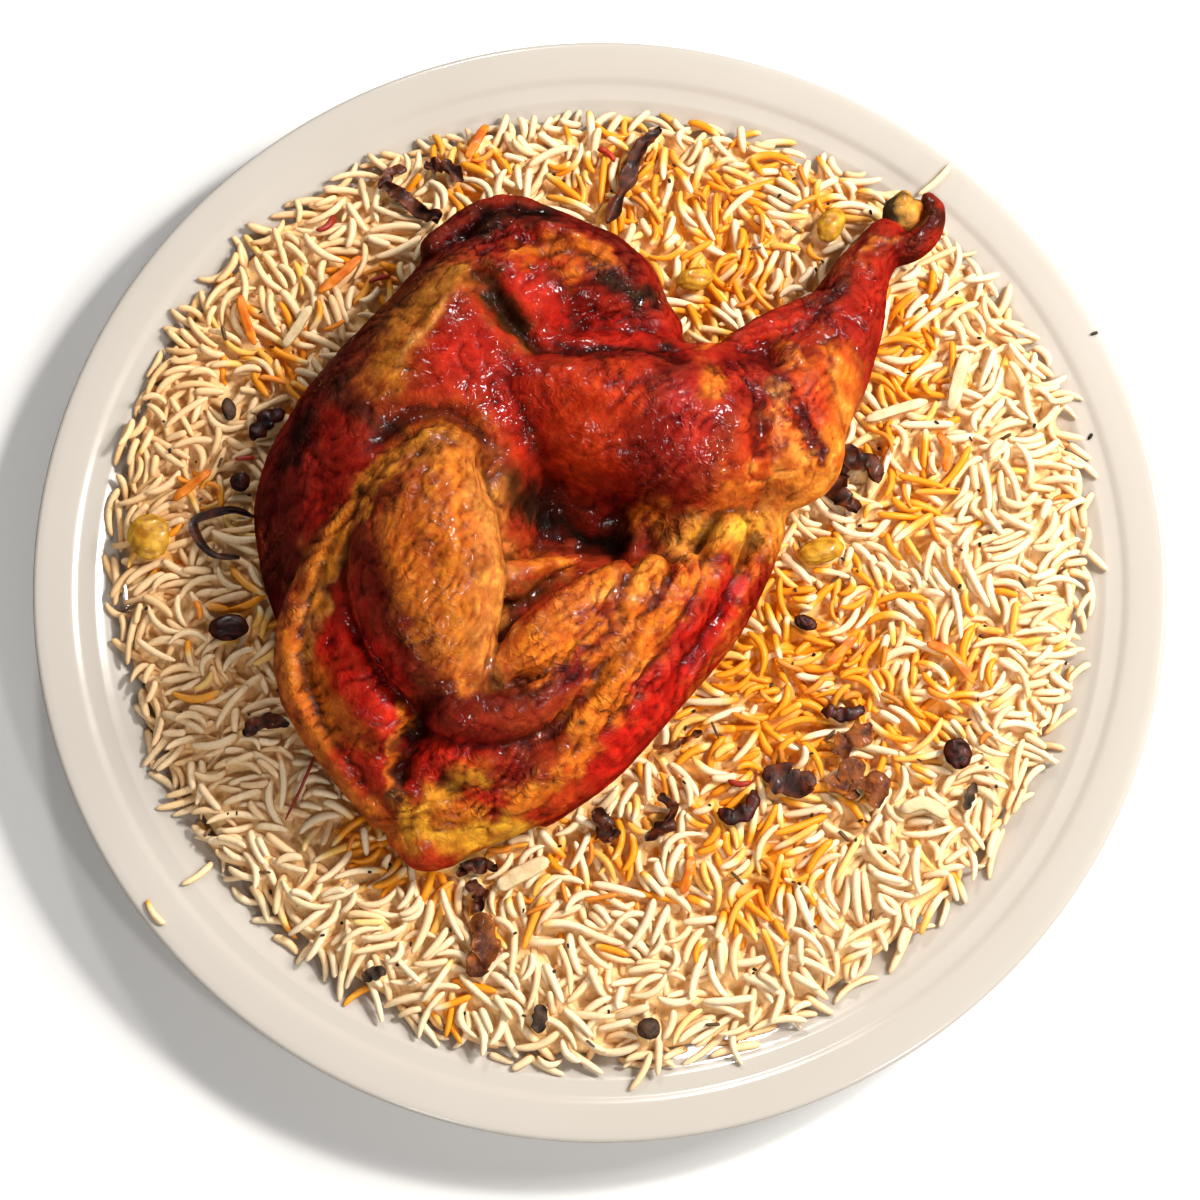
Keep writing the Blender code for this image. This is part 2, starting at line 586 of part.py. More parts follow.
def build_strip(name, rows, width, thick, crinkle, slot, bird, placed):
    steps = 3 + len(rows) if slot in ("onion", "raisin") else 2 + len(rows)
    line = clear_of_bird(smooth_line(rows, steps), width / 2 * (1 + crinkle), bird)
    along = np.gradient(line, axis=0)
    along /= np.linalg.norm(along, axis=1)[:, None]
    side = np.c_[-along[:, 1], along[:, 0]]
    base = rice_height(line[:, 0], line[:, 1]) + GRAIN_BUMP * 0.75
    for k, p in enumerate(line):
        for shift in (-0.5, 0.0, 0.5):
            q = p + side[k] * width * shift
            base[k] = max(base[k], top_under(placed, *q) + 0.5)
    base = np.maximum(base, np.convolve(np.pad(base, 1, mode="edge"), (0.5, 0.0, 0.5), "valid"))
    share = np.linspace(0, 1, steps)
    taper = np.clip(np.minimum(share, 1 - share) * 5 + 0.45, 0, 1)
    wide = width / 2 * taper * (1 + crinkle * rng.uniform(-1, 1, steps))
    high = thick / 2 * (0.3 + 0.7 * taper) * (1 + crinkle * rng.uniform(-1, 1, steps))
    centre = np.c_[line, base + thick / 2 + crinkle * thick * 0.5 * np.abs(rng.uniform(-1, 1, steps))]
    sides = 5 if slot in ("onion", "raisin") else 4
    turn = np.linspace(0, 2 * math.pi, sides, endpoint=False) + math.pi / sides
    rings = [centre[k] + wide[k] * np.cos(turn)[:, None] * np.array((*side[k], 0.0))
             + high[k] * np.sin(turn)[:, None] * np.array((0.0, 0.0, 1.0)) for k in range(steps)]
    points, faces = loft(rings)
    points[-2] = points[-2] - np.array((*along[0], 0.0)) * width * 0.2
    points[-1] = points[-1] + np.array((*along[-1], 0.0)) * width * 0.2
    return add_object(name, mesh_from(name, np.array(points), faces), slot)


def build_berry(name, x, y, length, width, height, points_to, slot, placed):
    shape = bmesh.new()
    bmesh.ops.create_uvsphere(shape, u_segments=8, v_segments=5, radius=1.0)
    lean = math.radians(points_to)
    base = float(rice_height(x, y)) + GRAIN_BUMP * 0.5
    base = max(base, top_under(placed, x, y) + 0.5)
    for corner in shape.verts:
        a, b, c = corner.co
        wrinkle = 1 + 0.09 * math.sin(5 * math.atan2(b, a) + 2 * c) * (1 - c * c)
        a, b, c = a * length / 2 * wrinkle, b * width / 2 * wrinkle, c * height / 2
        corner.co = Vector((x + a * math.cos(lean) - b * math.sin(lean),
                            y + a * math.sin(lean) + b * math.cos(lean), base + height / 2 + c)) * MM
    mesh = bpy.data.meshes.new(name)
    shape.to_mesh(mesh)
    shape.free()
    return add_object(name, mesh, slot)


build_plate()

chicken = build_chicken()
bone = add_object("leg_bone", knob("leg_bone", 0.0), "bone")
cutter = add_object("bone_seat", knob("bone_seat", GAP), "bone")
seat = chicken.modifiers.new("bone_seat", "BOOLEAN")
seat.operation = "DIFFERENCE"
seat.solver = "EXACT"
seat.object = cutter
apply_modifiers(chicken)
bpy.data.objects.remove(cutter)

bird_tree = tree_of(chicken.data)
placed = [tree_of(bone.data)]
for name, values in STRIPS.items():
    placed.append(tree_of(build_strip(name, *values, bird_tree, placed).data))
for name, values in BERRIES.items():
    placed.append(tree_of(build_berry(name, *values, placed).data))
build_rice([bird_tree] + placed)
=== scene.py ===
import math

import bmesh
import bpy
import numpy as np
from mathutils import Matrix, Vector


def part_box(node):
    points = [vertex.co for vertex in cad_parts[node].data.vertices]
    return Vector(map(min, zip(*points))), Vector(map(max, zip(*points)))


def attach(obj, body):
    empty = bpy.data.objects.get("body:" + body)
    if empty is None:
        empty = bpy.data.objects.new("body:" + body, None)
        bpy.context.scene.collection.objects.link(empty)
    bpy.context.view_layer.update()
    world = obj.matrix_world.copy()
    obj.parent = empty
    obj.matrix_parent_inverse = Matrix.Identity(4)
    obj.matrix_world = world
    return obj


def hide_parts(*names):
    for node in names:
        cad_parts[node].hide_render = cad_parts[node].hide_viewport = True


# Chicken mandi on its plate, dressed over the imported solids. Sizes are in mm until a mesh is made.
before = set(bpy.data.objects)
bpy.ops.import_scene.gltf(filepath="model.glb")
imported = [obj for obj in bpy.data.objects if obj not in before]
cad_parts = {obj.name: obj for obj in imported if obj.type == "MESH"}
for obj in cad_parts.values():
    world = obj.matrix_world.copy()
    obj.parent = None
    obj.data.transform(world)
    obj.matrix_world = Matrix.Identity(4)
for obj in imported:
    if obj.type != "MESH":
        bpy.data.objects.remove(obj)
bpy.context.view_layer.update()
mm = 0.001


# Small tools

def smoothLine(rows, count):
    # a curve through every row: each stretch is a cubic, and leaves a row along its neighbours' line
    rows = np.array(rows, float)
    if len(rows) == 2:
        return rows[0] + np.linspace(0, 1, count)[:, None] * (rows[1] - rows[0])
    ends = np.vstack([2 * rows[0] - rows[1], rows, 2 * rows[-1] - rows[-2]])
    at = np.linspace(0, len(rows) - 1, count)
    first = np.minimum(at.astype(int), len(rows) - 2)
    t = (at - first)[:, None]
    a, b, c, d = (ends[first + k] for k in range(4))
    return 0.5 * (2 * b + (c - a) * t + (2 * a - 5 * b + 4 * c - d) * t**2 + (3 * b - a - 3 * c + d) * t**3)


def nearLine(points, line):
    # distance in plan from each point to the line, and how far along it the nearest place is, 0 to 1
    near = np.full(len(points), 1e9)
    share = np.zeros(len(points))
    if len(line) == 1:
        return np.linalg.norm(points - line[0], axis=1), share + 0.5
    for k in range(len(line) - 1):
        run = line[k + 1] - line[k]
        t = np.clip(((points - line[k]) @ run) / (run @ run), 0, 1)
        gap = np.linalg.norm(points - line[k] - t[:, None] * run, axis=1)
        closer = gap < near
        near[closer] = gap[closer]
        share[closer] = (k + t[closer]) / (len(line) - 1)
    return near, share


def waves(points, size, seed, count=24):
    # a sum of sine waves in random directions, each about size mm long. Most values lie between -1 and 1
    draw = np.random.default_rng(seed)
    heading = draw.normal(size=(count, points.shape[1]))
    heading /= np.linalg.norm(heading, axis=1)[:, None]
    rate = 2 * np.pi / size * draw.uniform(0.6, 1.5, count)
    start = draw.uniform(0, 2 * np.pi, count)
    return np.sin(points @ (heading * rate[:, None]).T + start).sum(axis=1) / math.sqrt(count)


def meshOf(name, points, quads, tris=None):  # points in mm, faces as rows of point numbers
    quads = np.asarray(quads, int)
    tris = np.zeros((0, 3), int) if tris is None else np.asarray(tris, int)
    mesh = bpy.data.meshes.new(name)
    mesh.vertices.add(len(points))
    mesh.vertices.foreach_set("co", (np.asarray(points, float) * mm).ravel())
    corners = np.concatenate([quads.ravel(), tris.ravel()])
    mesh.loops.add(len(corners))
    mesh.loops.foreach_set("vertex_index", corners)
    starts = np.concatenate([np.arange(len(quads)) * 4, len(quads) * 4 + np.arange(len(tris)) * 3])
    mesh.polygons.add(len(starts))
    mesh.polygons.foreach_set("loop_start", starts)
    mesh.polygons.foreach_set("use_smooth", np.ones(len(starts), bool))
    mesh.update(calc_edges=True)
    mesh.validate()
    return mesh


def place(name, mesh, material, slot, *nodes):  # links a finished piece and ties it to the frame
    piece = bpy.data.objects.new(name, mesh)
    bpy.context.scene.collection.objects.link(piece)
    mesh.materials.clear()
    mesh.materials.append(material)
    piece.visible_glossy = slot not in ("plate", "rice")  # pale things would veil the dark glaze
    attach(piece, "root")
    if nodes:
        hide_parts(*nodes)


def pointsOf(mesh):
    flat = np.empty(len(mesh.vertices) * 3)
    mesh.vertices.foreach_get("co", flat)
    return flat.reshape(-1, 3) / mm


def normalsOf(mesh):
    flat = np.empty(len(mesh.vertices) * 3)
    mesh.vertices.foreach_get("normal", flat)
    return flat.reshape(-1, 3)


def movePoints(mesh, points):
    mesh.vertices.foreach_set("co", (points * mm).ravel())
    mesh.update()


def paint(mesh, name, colours):  # one colour for each point, kept as an attribute that the material reads
    layer = mesh.attributes.new(name, "FLOAT_COLOR", "POINT")
    full = np.ones((len(mesh.vertices), 4))
    full[:, :3] = colours
    layer.data.foreach_set("color", full.ravel())


def mixed(first, second, share):
    return first + share * (second - first)


def note(mesh, name, values):  # one number for each point, kept in the same way
    layer = mesh.attributes.new(name, "FLOAT", "POINT")
    layer.data.foreach_set("value", np.asarray(values, np.float32))


def applyModifiers(piece):
    graph = bpy.context.evaluated_depsgraph_get()
    made = bpy.data.meshes.new_from_object(piece.evaluated_get(graph))
    piece.modifiers.clear()
    old = piece.data
    piece.data = made
    bpy.data.meshes.remove(old)


def ringQuads(rings, sides):  # faces of a tube of rings, each closed round
    ring, side = np.meshgrid(np.arange(rings - 1), np.arange(sides), indexing="ij")
    here = (ring * sides + side).ravel()
    beside = (ring * sides + (side + 1) % sides).ravel()
    return np.c_[here, beside, beside + sides, here + sides]


def poleTris(rings, sides, first, last):  # fans that close a tube at both ends
    side = np.arange(sides)
    beside = (side + 1) % sides
    base = (rings - 1) * sides
    return np.vstack([np.c_[np.full(sides, first), beside, side],
                      np.c_[np.full(sides, last), base + side, base + beside]])


def tube(centre, side, up, wide, high, sides):  # an ellipse carried along a path, closed at both ends
    turn = np.linspace(0, 2 * np.pi, sides, endpoint=False)
    ring = (centre[:, None, :] + (wide[:, None] * np.cos(turn))[..., None] * side[:, None, :]
            + (high[:, None] * np.sin(turn))[..., None] * up[:, None, :])
    points = np.vstack([ring.reshape(-1, 3), ring[0].mean(axis=0), ring[-1].mean(axis=0)])
    count = len(centre) * sides
    return points, ringQuads(len(centre), sides), poleTris(len(centre), sides, count, count + 1)


def joinArrays(parts):  # several (points, quads, tris) as one
    points, quads, tris, count = [], [], [], 0
    for p, q, t in parts:
        points.append(p)
        quads.append(q + count)
        tris.append(t + count)
        count += len(p)
    return np.vstack(points), np.vstack(quads), np.vstack(tris)


# Materials

def newMaterial(name, roughness, **inputs):
    made = bpy.data.materials.new(name)
    made.use_nodes = True
    nodes, links = made.node_tree.nodes, made.node_tree.links
    shader = nodes["Principled BSDF"]
    shader.inputs["Roughness"].default_value = roughness
    for key, value in inputs.items():
        shader.inputs[key.replace("_", " ")].default_value = value
    where = nodes.new("ShaderNodeTexCoord").outputs["Object"]
    return made, nodes, links, shader, where


def addNoise(nodes, links, where, scale, detail=4.0, roughness=0.55, distortion=0.0):
    noise = nodes.new("ShaderNodeTexNoise")
    noise.inputs["Scale"].default_value = scale
    noise.inputs["Detail"].default_value = detail
    noise.inputs["Roughness"].default_value = roughness
    noise.inputs["Distortion"].default_value = distortion
    links.new(where, noise.inputs["Vector"])
    return noise.outputs["Fac"]


def addRange(nodes, links, value, low, high, toLow, toHigh):
    spread = nodes.new("ShaderNodeMapRange")
    for key, number in (("From Min", low), ("From Max", high), ("To Min", toLow), ("To Max", toHigh)):
        spread.inputs[key].default_value = number
    links.new(value, spread.inputs["Value"])
    return spread.outputs["Result"]


def noiseRange(nodes, links, where, scale, detail, span, to, roughness=0.55, distortion=0.0):
    # noise, with its values between the two of span stretched to lie between the two of to
    noise = addNoise(nodes, links, where, scale, detail, roughness, distortion)
    return addRange(nodes, links, noise, *span, *to)


def addMath(nodes, links, operation, first, second):
    made = nodes.new("ShaderNodeMath")
    made.operation = operation
    made.use_clamp = operation == "ADD"
    links.new(first, made.inputs[0])
    links.new(second, made.inputs[1])
    return made.outputs[0]


def addMix(nodes, links, factor, first, second, blend="MIX"):
    mix = nodes.new("ShaderNodeMix")
    mix.data_type = "RGBA"
    mix.blend_type = blend
    for key, value in ((0, factor), (6, first), (7, second)):
        if isinstance(value, bpy.types.NodeSocket):
            links.new(value, mix.inputs[key])
        else:
            mix.inputs[key].default_value = value if key == 0 else (*value, 1.0)
    return mix.outputs[2]


def addBump(nodes, links, height, strength, distance, under=None):
    bump = nodes.new("ShaderNodeBump")
    bump.inputs["Strength"].default_value = strength
    bump.inputs["Distance"].default_value = distance * mm
    links.new(height, bump.inputs["Height"])
    if under is not None:
        links.new(under, bump.inputs["Normal"])
    return bump.outputs["Normal"]


def readAttribute(nodes, name, output="Color"):
    read = nodes.new("ShaderNodeAttribute")
    read.attribute_name = name
    return read.outputs[output]


def skinMaterial():  # wet glaze over painted skin: mottled, with small wrinkles that break up the shine
    made, nodes, links, shader, where = newMaterial(
        "glazedSkin", 0.45, Specular_IOR_Level=0.08, Coat_IOR=1.42, Coat_Roughness=0.055)
    painted = readAttribute(nodes, "skinTone")
    mottle = noiseRange(nodes, links, where, 130, 3, (0.3, 0.72), (0.75, 1.22), 0.6, 0.6)
    fine = noiseRange(nodes, links, where, 620, 3, (0.3, 0.7), (0.85, 1.12), 0.6, 0.3)
    deeper = noiseRange(nodes, links, where, 75, 3, (0.46, 0.68), (0.0, 0.7), 0.62, 1.6)
    lighter = noiseRange(nodes, links, where, 150, 3, (0.52, 0.72), (0.0, 0.6), 0.6, 2.0)
    colour = painted
    for amount, change in ((deeper, (0.62, 0.3, 0.3)), (lighter, (1.3, 1.75, 1.1))):
        changed = addMix(nodes, links, 1.0, painted, change, "MULTIPLY")
        colour = addMix(nodes, links, amount, colour, changed)
    shade = addMath(nodes, links, "MULTIPLY", mottle, fine)
    links.new(addMix(nodes, links, 1.0, colour, shade, "MULTIPLY"), shader.inputs["Base Color"])
    links.new(noiseRange(nodes, links, where, 260, 3, (0.35, 0.7), (0.35, 0.6)), shader.inputs["Roughness"])
    crinkle = nodes.new("ShaderNodeTexNoise")
    crinkle.noise_type = "RIDGED_MULTIFRACTAL"
    ridged = dict(Scale=330, Detail=2, Roughness=0.45, Distortion=0.8, Offset=1.0, Gain=1.2)
    for key, number in ridged.items():
        crinkle.inputs[key].default_value = number
    links.new(where, crinkle.inputs["Vector"])
    folded = addMath(nodes, links, "MULTIPLY", crinkle.outputs["Fac"], readAttribute(nodes, "crackle", "Fac"))
    coarse = addBump(nodes, links, folded, 0.8, 0.45)
    coarse = addBump(nodes, links, addNoise(nodes, links, where, 190, 3, 0.5, 1.0), 0.25, 0.8, coarse)
    tiny = addBump(nodes, links, addNoise(nodes, links, where, 900, 2, 0.6, 0.8), 0.35, 0.2, coarse)
    links.new(tiny, shader.inputs["Normal"])
    links.new(coarse, shader.inputs["Coat Normal"])
    links.new(readAttribute(nodes, "wet", "Fac"), shader.inputs["Coat Weight"])
    return made


def grainMaterial(name):  # boiled rice: cloudy, a little uneven, a thin moist shine on it
    made, nodes, links, shader, where = newMaterial(
        name, 0.42, Coat_Weight=0.12, Coat_Roughness=0.22)
    cloudy = noiseRange(nodes, links, where, 700, 2, (0.35, 0.7), (0.9, 1.03))
    colour = addMix(nodes, links, 1.0, readAttribute(nodes, "grainTone"), cloudy, "MULTIPLY")
    links.new(colour, shader.inputs["Base Color"])
    links.new(noiseRange(nodes, links, where, 500, 2, (0.35, 0.7), (0.34, 0.52)), shader.inputs["Roughness"])
    uneven = addNoise(nodes, links, where, 1200, 2)
    links.new(addBump(nodes, links, uneven, 0.25, 0.15), shader.inputs["Normal"])
    return made


def plateMaterial():  # warm white glaze, hardly uneven
    made, nodes, links, shader, where = newMaterial("plateGlaze", 0.18, Coat_Weight=0.35, Coat_Roughness=0.05)
    tint = noiseRange(nodes, links, where, 9, 3, (0.3, 0.7), (0.0, 1.0))
    colour = addMix(nodes, links, tint, (0.545, 0.505, 0.455), (0.515, 0.475, 0.42))
    links.new(colour, shader.inputs["Base Color"])
    links.new(noiseRange(nodes, links, where, 60, 3, (0.3, 0.7), (0.14, 0.24)), shader.inputs["Roughness"])
    links.new(addBump(nodes, links, addNoise(nodes, links, where, 25, 2), 0.08, 0.4), shader.inputs["Normal"])
    return made


# Camera, light and floor

view = dict(elevation=76.25, lens=92.77, sensor=36.0, targetY=-3.78, distance=950.0)
lean = math.radians(view["elevation"])
ahead = Vector((0.0, math.cos(lean), -math.sin(lean)))
camera = bpy.data.objects.new("camera", bpy.data.cameras.new("camera"))
camera.data.lens = view["lens"]
camera.data.sensor_width = view["sensor"]
camera.data.clip_end = 20.0
camera.location = (Vector((0.0, view["targetY"], 0.0)) - ahead * view["distance"]) * mm
camera.rotation_euler = ahead.to_track_quat("-Z", "Y").to_euler()
bpy.context.scene.collection.objects.link(camera)
bpy.context.scene.camera = camera
bpy.context.scene.view_settings.view_transform = "Standard"

lamps = dict(
    windowRight=dict(at=(760, 240, 700), size=420, power=10.0, colour=(1.0, 0.97, 0.93), shine=False),
    glintRight=dict(at=(600, 260, 780), size=120, power=6.6, colour=(1.0, 0.96, 0.91), shine=True),
    glintBack=dict(at=(-120, 760, 720), size=110, power=2.4, colour=(1.0, 0.97, 0.95), shine=True),
    glintFront=dict(at=(420, -480, 780), size=100, power=1.6, colour=(1.0, 0.96, 0.92), shine=True),
    glintLow=dict(at=(-260, -620, 720), size=90, power=0.8, colour=(1.0, 0.97, 0.94), shine=True),
    cardBack=dict(at=(-100, 900, 600), size=600, power=0.9, colour=(1.0, 0.98, 0.96), shine=False),
    cardFront=dict(at=(160, -950, 520), size=700, power=2.2, colour=(1.0, 0.98, 0.96), shine=False),
)
for name, lamp in lamps.items():
    light = bpy.data.lights.new(name, "AREA")
    light.shape = "DISK"
    light.size = lamp["size"] * mm
    light.energy = lamp["power"]
    light.color = lamp["colour"]
    holder = bpy.data.objects.new(name, light)
    holder.location = Vector(lamp["at"]) * mm
    holder.rotation_euler = (-Vector(lamp["at"])).to_track_quat("-Z", "Y").to_euler()
    holder.visible_glossy = lamp["shine"]  # the wide lights leave no shine on the glaze
    bpy.context.scene.collection.objects.link(holder)
world = bpy.data.worlds.new("paleRoom")
world.use_nodes = True
sky = world.node_tree.nodes["Background"]
sky.inputs["Color"].default_value = (1.0, 0.985, 0.96, 1.0)
sky.inputs["Strength"].default_value = 0.15
world.cycles_visibility.glossy = False
bpy.context.scene.world = world

floorMaterial, nodes, links, shader, where = newMaterial("paleFloor", 0.7)
links.new(addMix(nodes, links, addNoise(nodes, links, where, 3), (0.93, 0.93, 0.925), (0.95, 0.95, 0.945)),
          shader.inputs["Base Color"])
floorSide = 4000.0
corners = floorSide * np.array([(-1, -1, 0), (1, -1, 0), (1, 1, 0), (-1, 1, 0)])
floor = bpy.data.objects.new("floor", meshOf("floor", corners, [(0, 1, 2, 3)]))
floor.data.materials.append(floorMaterial)
bpy.context.scene.collection.objects.link(floor)
floor.visible_glossy = False  # a white floor would veil the steep sides of the dark skin
print("camera, light and floor ready")

# Plate

# Rows are radius and height: from the middle out over the top, then back to the middle underneath.
plate = dict(
    steps=192,  # points round a circle
    top=((0, 6.5), (60, 6.5), (106, 6.5), (112, 6.6), (117, 7.1), (122, 8.1), (128, 10.3), (135, 13.1),
         (141, 16.0), (146, 18.5), (149, 19.7), (150.6, 20.3), (151.6, 21.0), (152.6, 21.3), (156.2, 21.6),
         (157.4, 22.1), (158.3, 22.7), (159.6, 23.1), (163, 23.7), (166.5, 24.25), (168.6, 24.55),
         (169.6, 24.4), (170, 23.8)),
    under=((169.9, 23.1), (169.4, 22.6), (167, 21.9), (163, 20.9), (158, 19.7), (150, 17.1), (142, 13.0),
           (130, 7.5), (120, 4.1), (113, 2.7), (110, 1.6), (108.4, 0.25), (107.6, 0), (103.6, 0),
           (102.8, 0.3), (101, 2.4), (99, 3.0), (60, 3.0), (0, 3.0)),
)


def plateHeight(radius):
    rows = np.array(plate["top"], float)
    return np.interp(radius, rows[:, 0], rows[:, 1])


def buildPlate():  # the side view turned round the middle: each point of it swept through a full circle
    rows = np.array(plate["top"] + plate["under"], float)
    ring = rows[1:-1]
    turn = np.linspace(0, 2 * np.pi, plate["steps"], endpoint=False)
    points = np.stack([ring[:, :1] * np.cos(turn), ring[:, :1] * np.sin(turn),
                       np.repeat(ring[:, 1:], len(turn), axis=1)], axis=2).reshape(-1, 3)
    points = np.vstack([points, (0, 0, rows[0, 1]), (0, 0, rows[-1, 1])])
    quads = ringQuads(len(ring), plate["steps"])[:, ::-1]
    count = len(ring) * plate["steps"]
    tris = poleTris(len(ring), plate["steps"], count, count + 1)[:, ::-1]
    place("whitePlate", meshOf("whitePlate", points, quads, tris), plateMaterial(), "plate", "plate")


buildPlate()
print("plate ready")

# Chicken

chicken = dict(
    bodyVoxel=2.0, bodySoftening=8,  # the big lobes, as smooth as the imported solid
    skinVoxel=1.05, skinSoftening=4,  # the wing, strips and flaps joined on
    contact=27.6,  # height of the rice that carries it
    lump=0.3, plainCrackle=0.3, glaze=0.88,  # glaze dims the skin under it
    below=37, shade=0.45,  # the skin darkens by this share under this height
    blur=14,  # steps of smoothing that tell a hollow from a ridge
    creases=((15.0, 0.13, 0.55, 5), (8.0, 0.12, 0.35, 6)),  # size, width, depth, seed of each net of creases
    flaw=(5.0, 0.12, 7),  # size, height and seed of the small unevenness
)

# Rows are x, y and z of the middle, then half the width and half the height.
masses = dict(
    back=(
        (-12, 88, 44, 16, 18), (-24, 77, 45, 26, 25), (-42, 54, 46, 32, 28), (-55, 21, 46, 41, 30),
        (-58, -12, 46, 36, 30), (-57, -41, 44, 33, 26), (-51, -67, 40, 24, 19), (-50, -84, 36, 10, 11),
    ),
    leftFlank=(
        (-44, 88, 40, 9, 14), (-59, 67, 40, 11, 17), (-77, 43, 40, 13, 18), (-90, 20, 39, 12, 17),
        (-91, -1, 38, 10, 14), (-86, -22, 37, 8, 12),
    ),
    shoulder=((-29, 95, 44, 11, 16), (-10, 85, 46, 17, 22), (5, 76, 46, 16, 20), (16, 67, 44, 9, 14)),
    thigh=(
        (-24, 46, 46, 18, 24), (-3, 41, 48, 25, 27), (19, 36, 48, 27, 27), (41, 34, 46, 27, 25),
        (55, 31, 44, 18, 20),
    ),
    lowerThigh=((12, 14, 38, 13, 15), (30, 11, 40, 14, 17), (45, 11, 40, 10, 14)),
    drumstick=(
        (50, 40, 44, 23, 22), (64, 56, 42, 17, 18), (73, 73, 40, 13, 14), (79, 88, 38, 9, 10.5),
        (87, 100, 37, 7, 8),
    ),
    valleyFloor=((-24, 12, 38, 17, 14), (6, 7, 38, 17, 14), (27, 2, 37, 14, 13)),
    hollowFloor=((-30, -24, 42, 20, 15), (-10, -16, 42, 18, 14), (14, -8, 40, 16, 13)),
    breast=(
        (20, -11, 42, 15, 16), (4, -33, 44, 22, 20), (-14, -53, 43, 23, 20), (-35, -70, 40, 18, 17),
        (-46, -83, 36, 10, 11),
    ),
)

forms = dict(
    wingFlat=(
        (-44, 21, 67, 11, 15), (-48, 7, 70, 19, 17), (-50, -12, 70, 23, 18.5), (-47, -31, 68, 20, 17),
        (-40, -47, 63, 11, 13),
    ),
    wingWeb=(
        (-49, 24, 72, 5, 9), (-63, 13, 68, 5, 9), (-75, 0, 64, 5, 9), (-84, -16, 60, 5, 9),
        (-89, -32, 56, 5, 9), (-86, -48, 52, 5, 9), (-76, -62, 48, 5, 8), (-63, -77, 42, 5, 7),
    ),
    wingCrook=((-52, -47, 58, 7, 10), (-37, -53, 62, 8, 12), (-21, -51, 62, 7, 11), (-6, -43, 60, 5, 9)),
    wingFlake=((-25, -13, 62, 6, 7), (-16, -9, 61, 3, 5), (-6, -6, 60, 1.5, 3)),
    wingFeather=((-27, -41, 64, 5, 9), (-17, -32, 66, 9, 10), (-4, -21, 65, 8, 9), (6, -10, 63, 3, 6)),
    wingRidgeInner=((-23, -51, 60, 4, 8), (-7, -39, 62, 5, 9), (6, -25, 62, 6, 9), (15, -10, 60, 5, 8)),
    wingRidgeMid=((-11, -60, 54, 5, 9), (3, -44, 57, 6, 10), (16, -25, 58, 6, 10), (26, -9, 56, 5, 9)),
    skinStripUpper=(
        (38, 4, 52, 5, 9), (30, -13, 52, 6, 10), (16, -33, 52, 7, 10), (1, -50, 51, 7, 10),
        (-14, -66, 48, 6, 9), (-32, -78, 43, 5, 8), (-46, -84, 38, 6, 8),
    ),
    skinStripLower=(
        (50, 7, 40, 5, 11), (43, -8, 40, 6, 12), (32, -25, 40, 7, 12.5), (17, -44, 40, 6, 12),
        (1, -62, 38, 6, 11), (-16, -76, 34, 4, 8),
    ),
    breastLobe=((-73, -33, 54, 12, 12), (-65, -48, 55, 13, 13), (-57, -58, 53, 9, 11)),
    breastTip=((-43, -62, 52, 8, 11), (-31, -64, 52, 9, 11), (-20, -61, 52, 6, 9)),
    tailFlap=((-56, -83, 38, 6, 7), (-43, -77, 44, 6, 7), (-27, -74, 46, 5, 6)),
    neckEdge=(
        (-50, 93, 46, 4, 8), (-39, 101, 46, 5, 9), (-27, 105, 46, 5, 10), (-12, 100, 46, 4, 9),
        (4, 92, 46, 4, 8), (14, 81, 44, 3, 8), (22, 69, 42, 3, 8),
    ),
    kneeFold=((41, 60, 52, 5, 7), (55, 68, 49, 6, 8), (68, 76, 45, 5, 7)),
    ankleCuff=(
        (88, 96, 37, 5, 7), (95, 97.5, 38, 4.5, 7.5), (100, 102, 39, 4, 7.5), (101.5, 107.5, 39.5, 3.5, 6.5),
        (99.5, 111, 40, 2.5, 5),
    ),
)

# Creases pressed into the skin: the line, half the width, the depth.
folds = dict(
    shoulderSlot=(((-38, 82), (-33, 73), (-28, 65), (-23, 59)), 4.6, 2.6),
    shoulderSlotLow=(((-33, 74), (-27, 65), (-21, 58), (-16, 52)), 3.2, 3.4),
    shoulderHem=(((-17, 55), (0, 55), (16, 56), (26, 50)), 4, 4),
    valley=(((-27, 15), (-15, 8), (-2, 3), (10, 1)), 8.5, 8),
    webHollow=(((-56, 15), (-66, -2), (-70, -20), (-67, -33)), 6, 1.2),
    wingBase=(((-71, -26), (-64, -37), (-54, -49), (-47, -54)), 3, 5),
    breastSlit=(((-49, -53), (-54, -60), (-58, -72)), 4, 5),
    thighCreaseOuter=(((47, 46), (55, 39), (61, 30), (63, 23)), 3.5, 3.5),
    thighCreaseInner=(((40, 48), (46, 39), (46, 29), (43, 22)), 3.5, 3),
    thighCreaseTop=(((29, 48), (41, 53), (53, 55)), 4, 2.5),
    thighSeam=(((12, 0), (26, -7), (40, -4), (51, 6)), 3, 3),
    featherCrease=(((-12, -44), (-1, -35), (9, -22)), 3, 3),
    wingTop=(((-66, 22), (-58, 31), (-44, 34), (-30, 24)), 3, 3),
    neckGroove=(((-43, 83), (-29, 89), (-12, 87), (4, 79)), 4, 2),
)

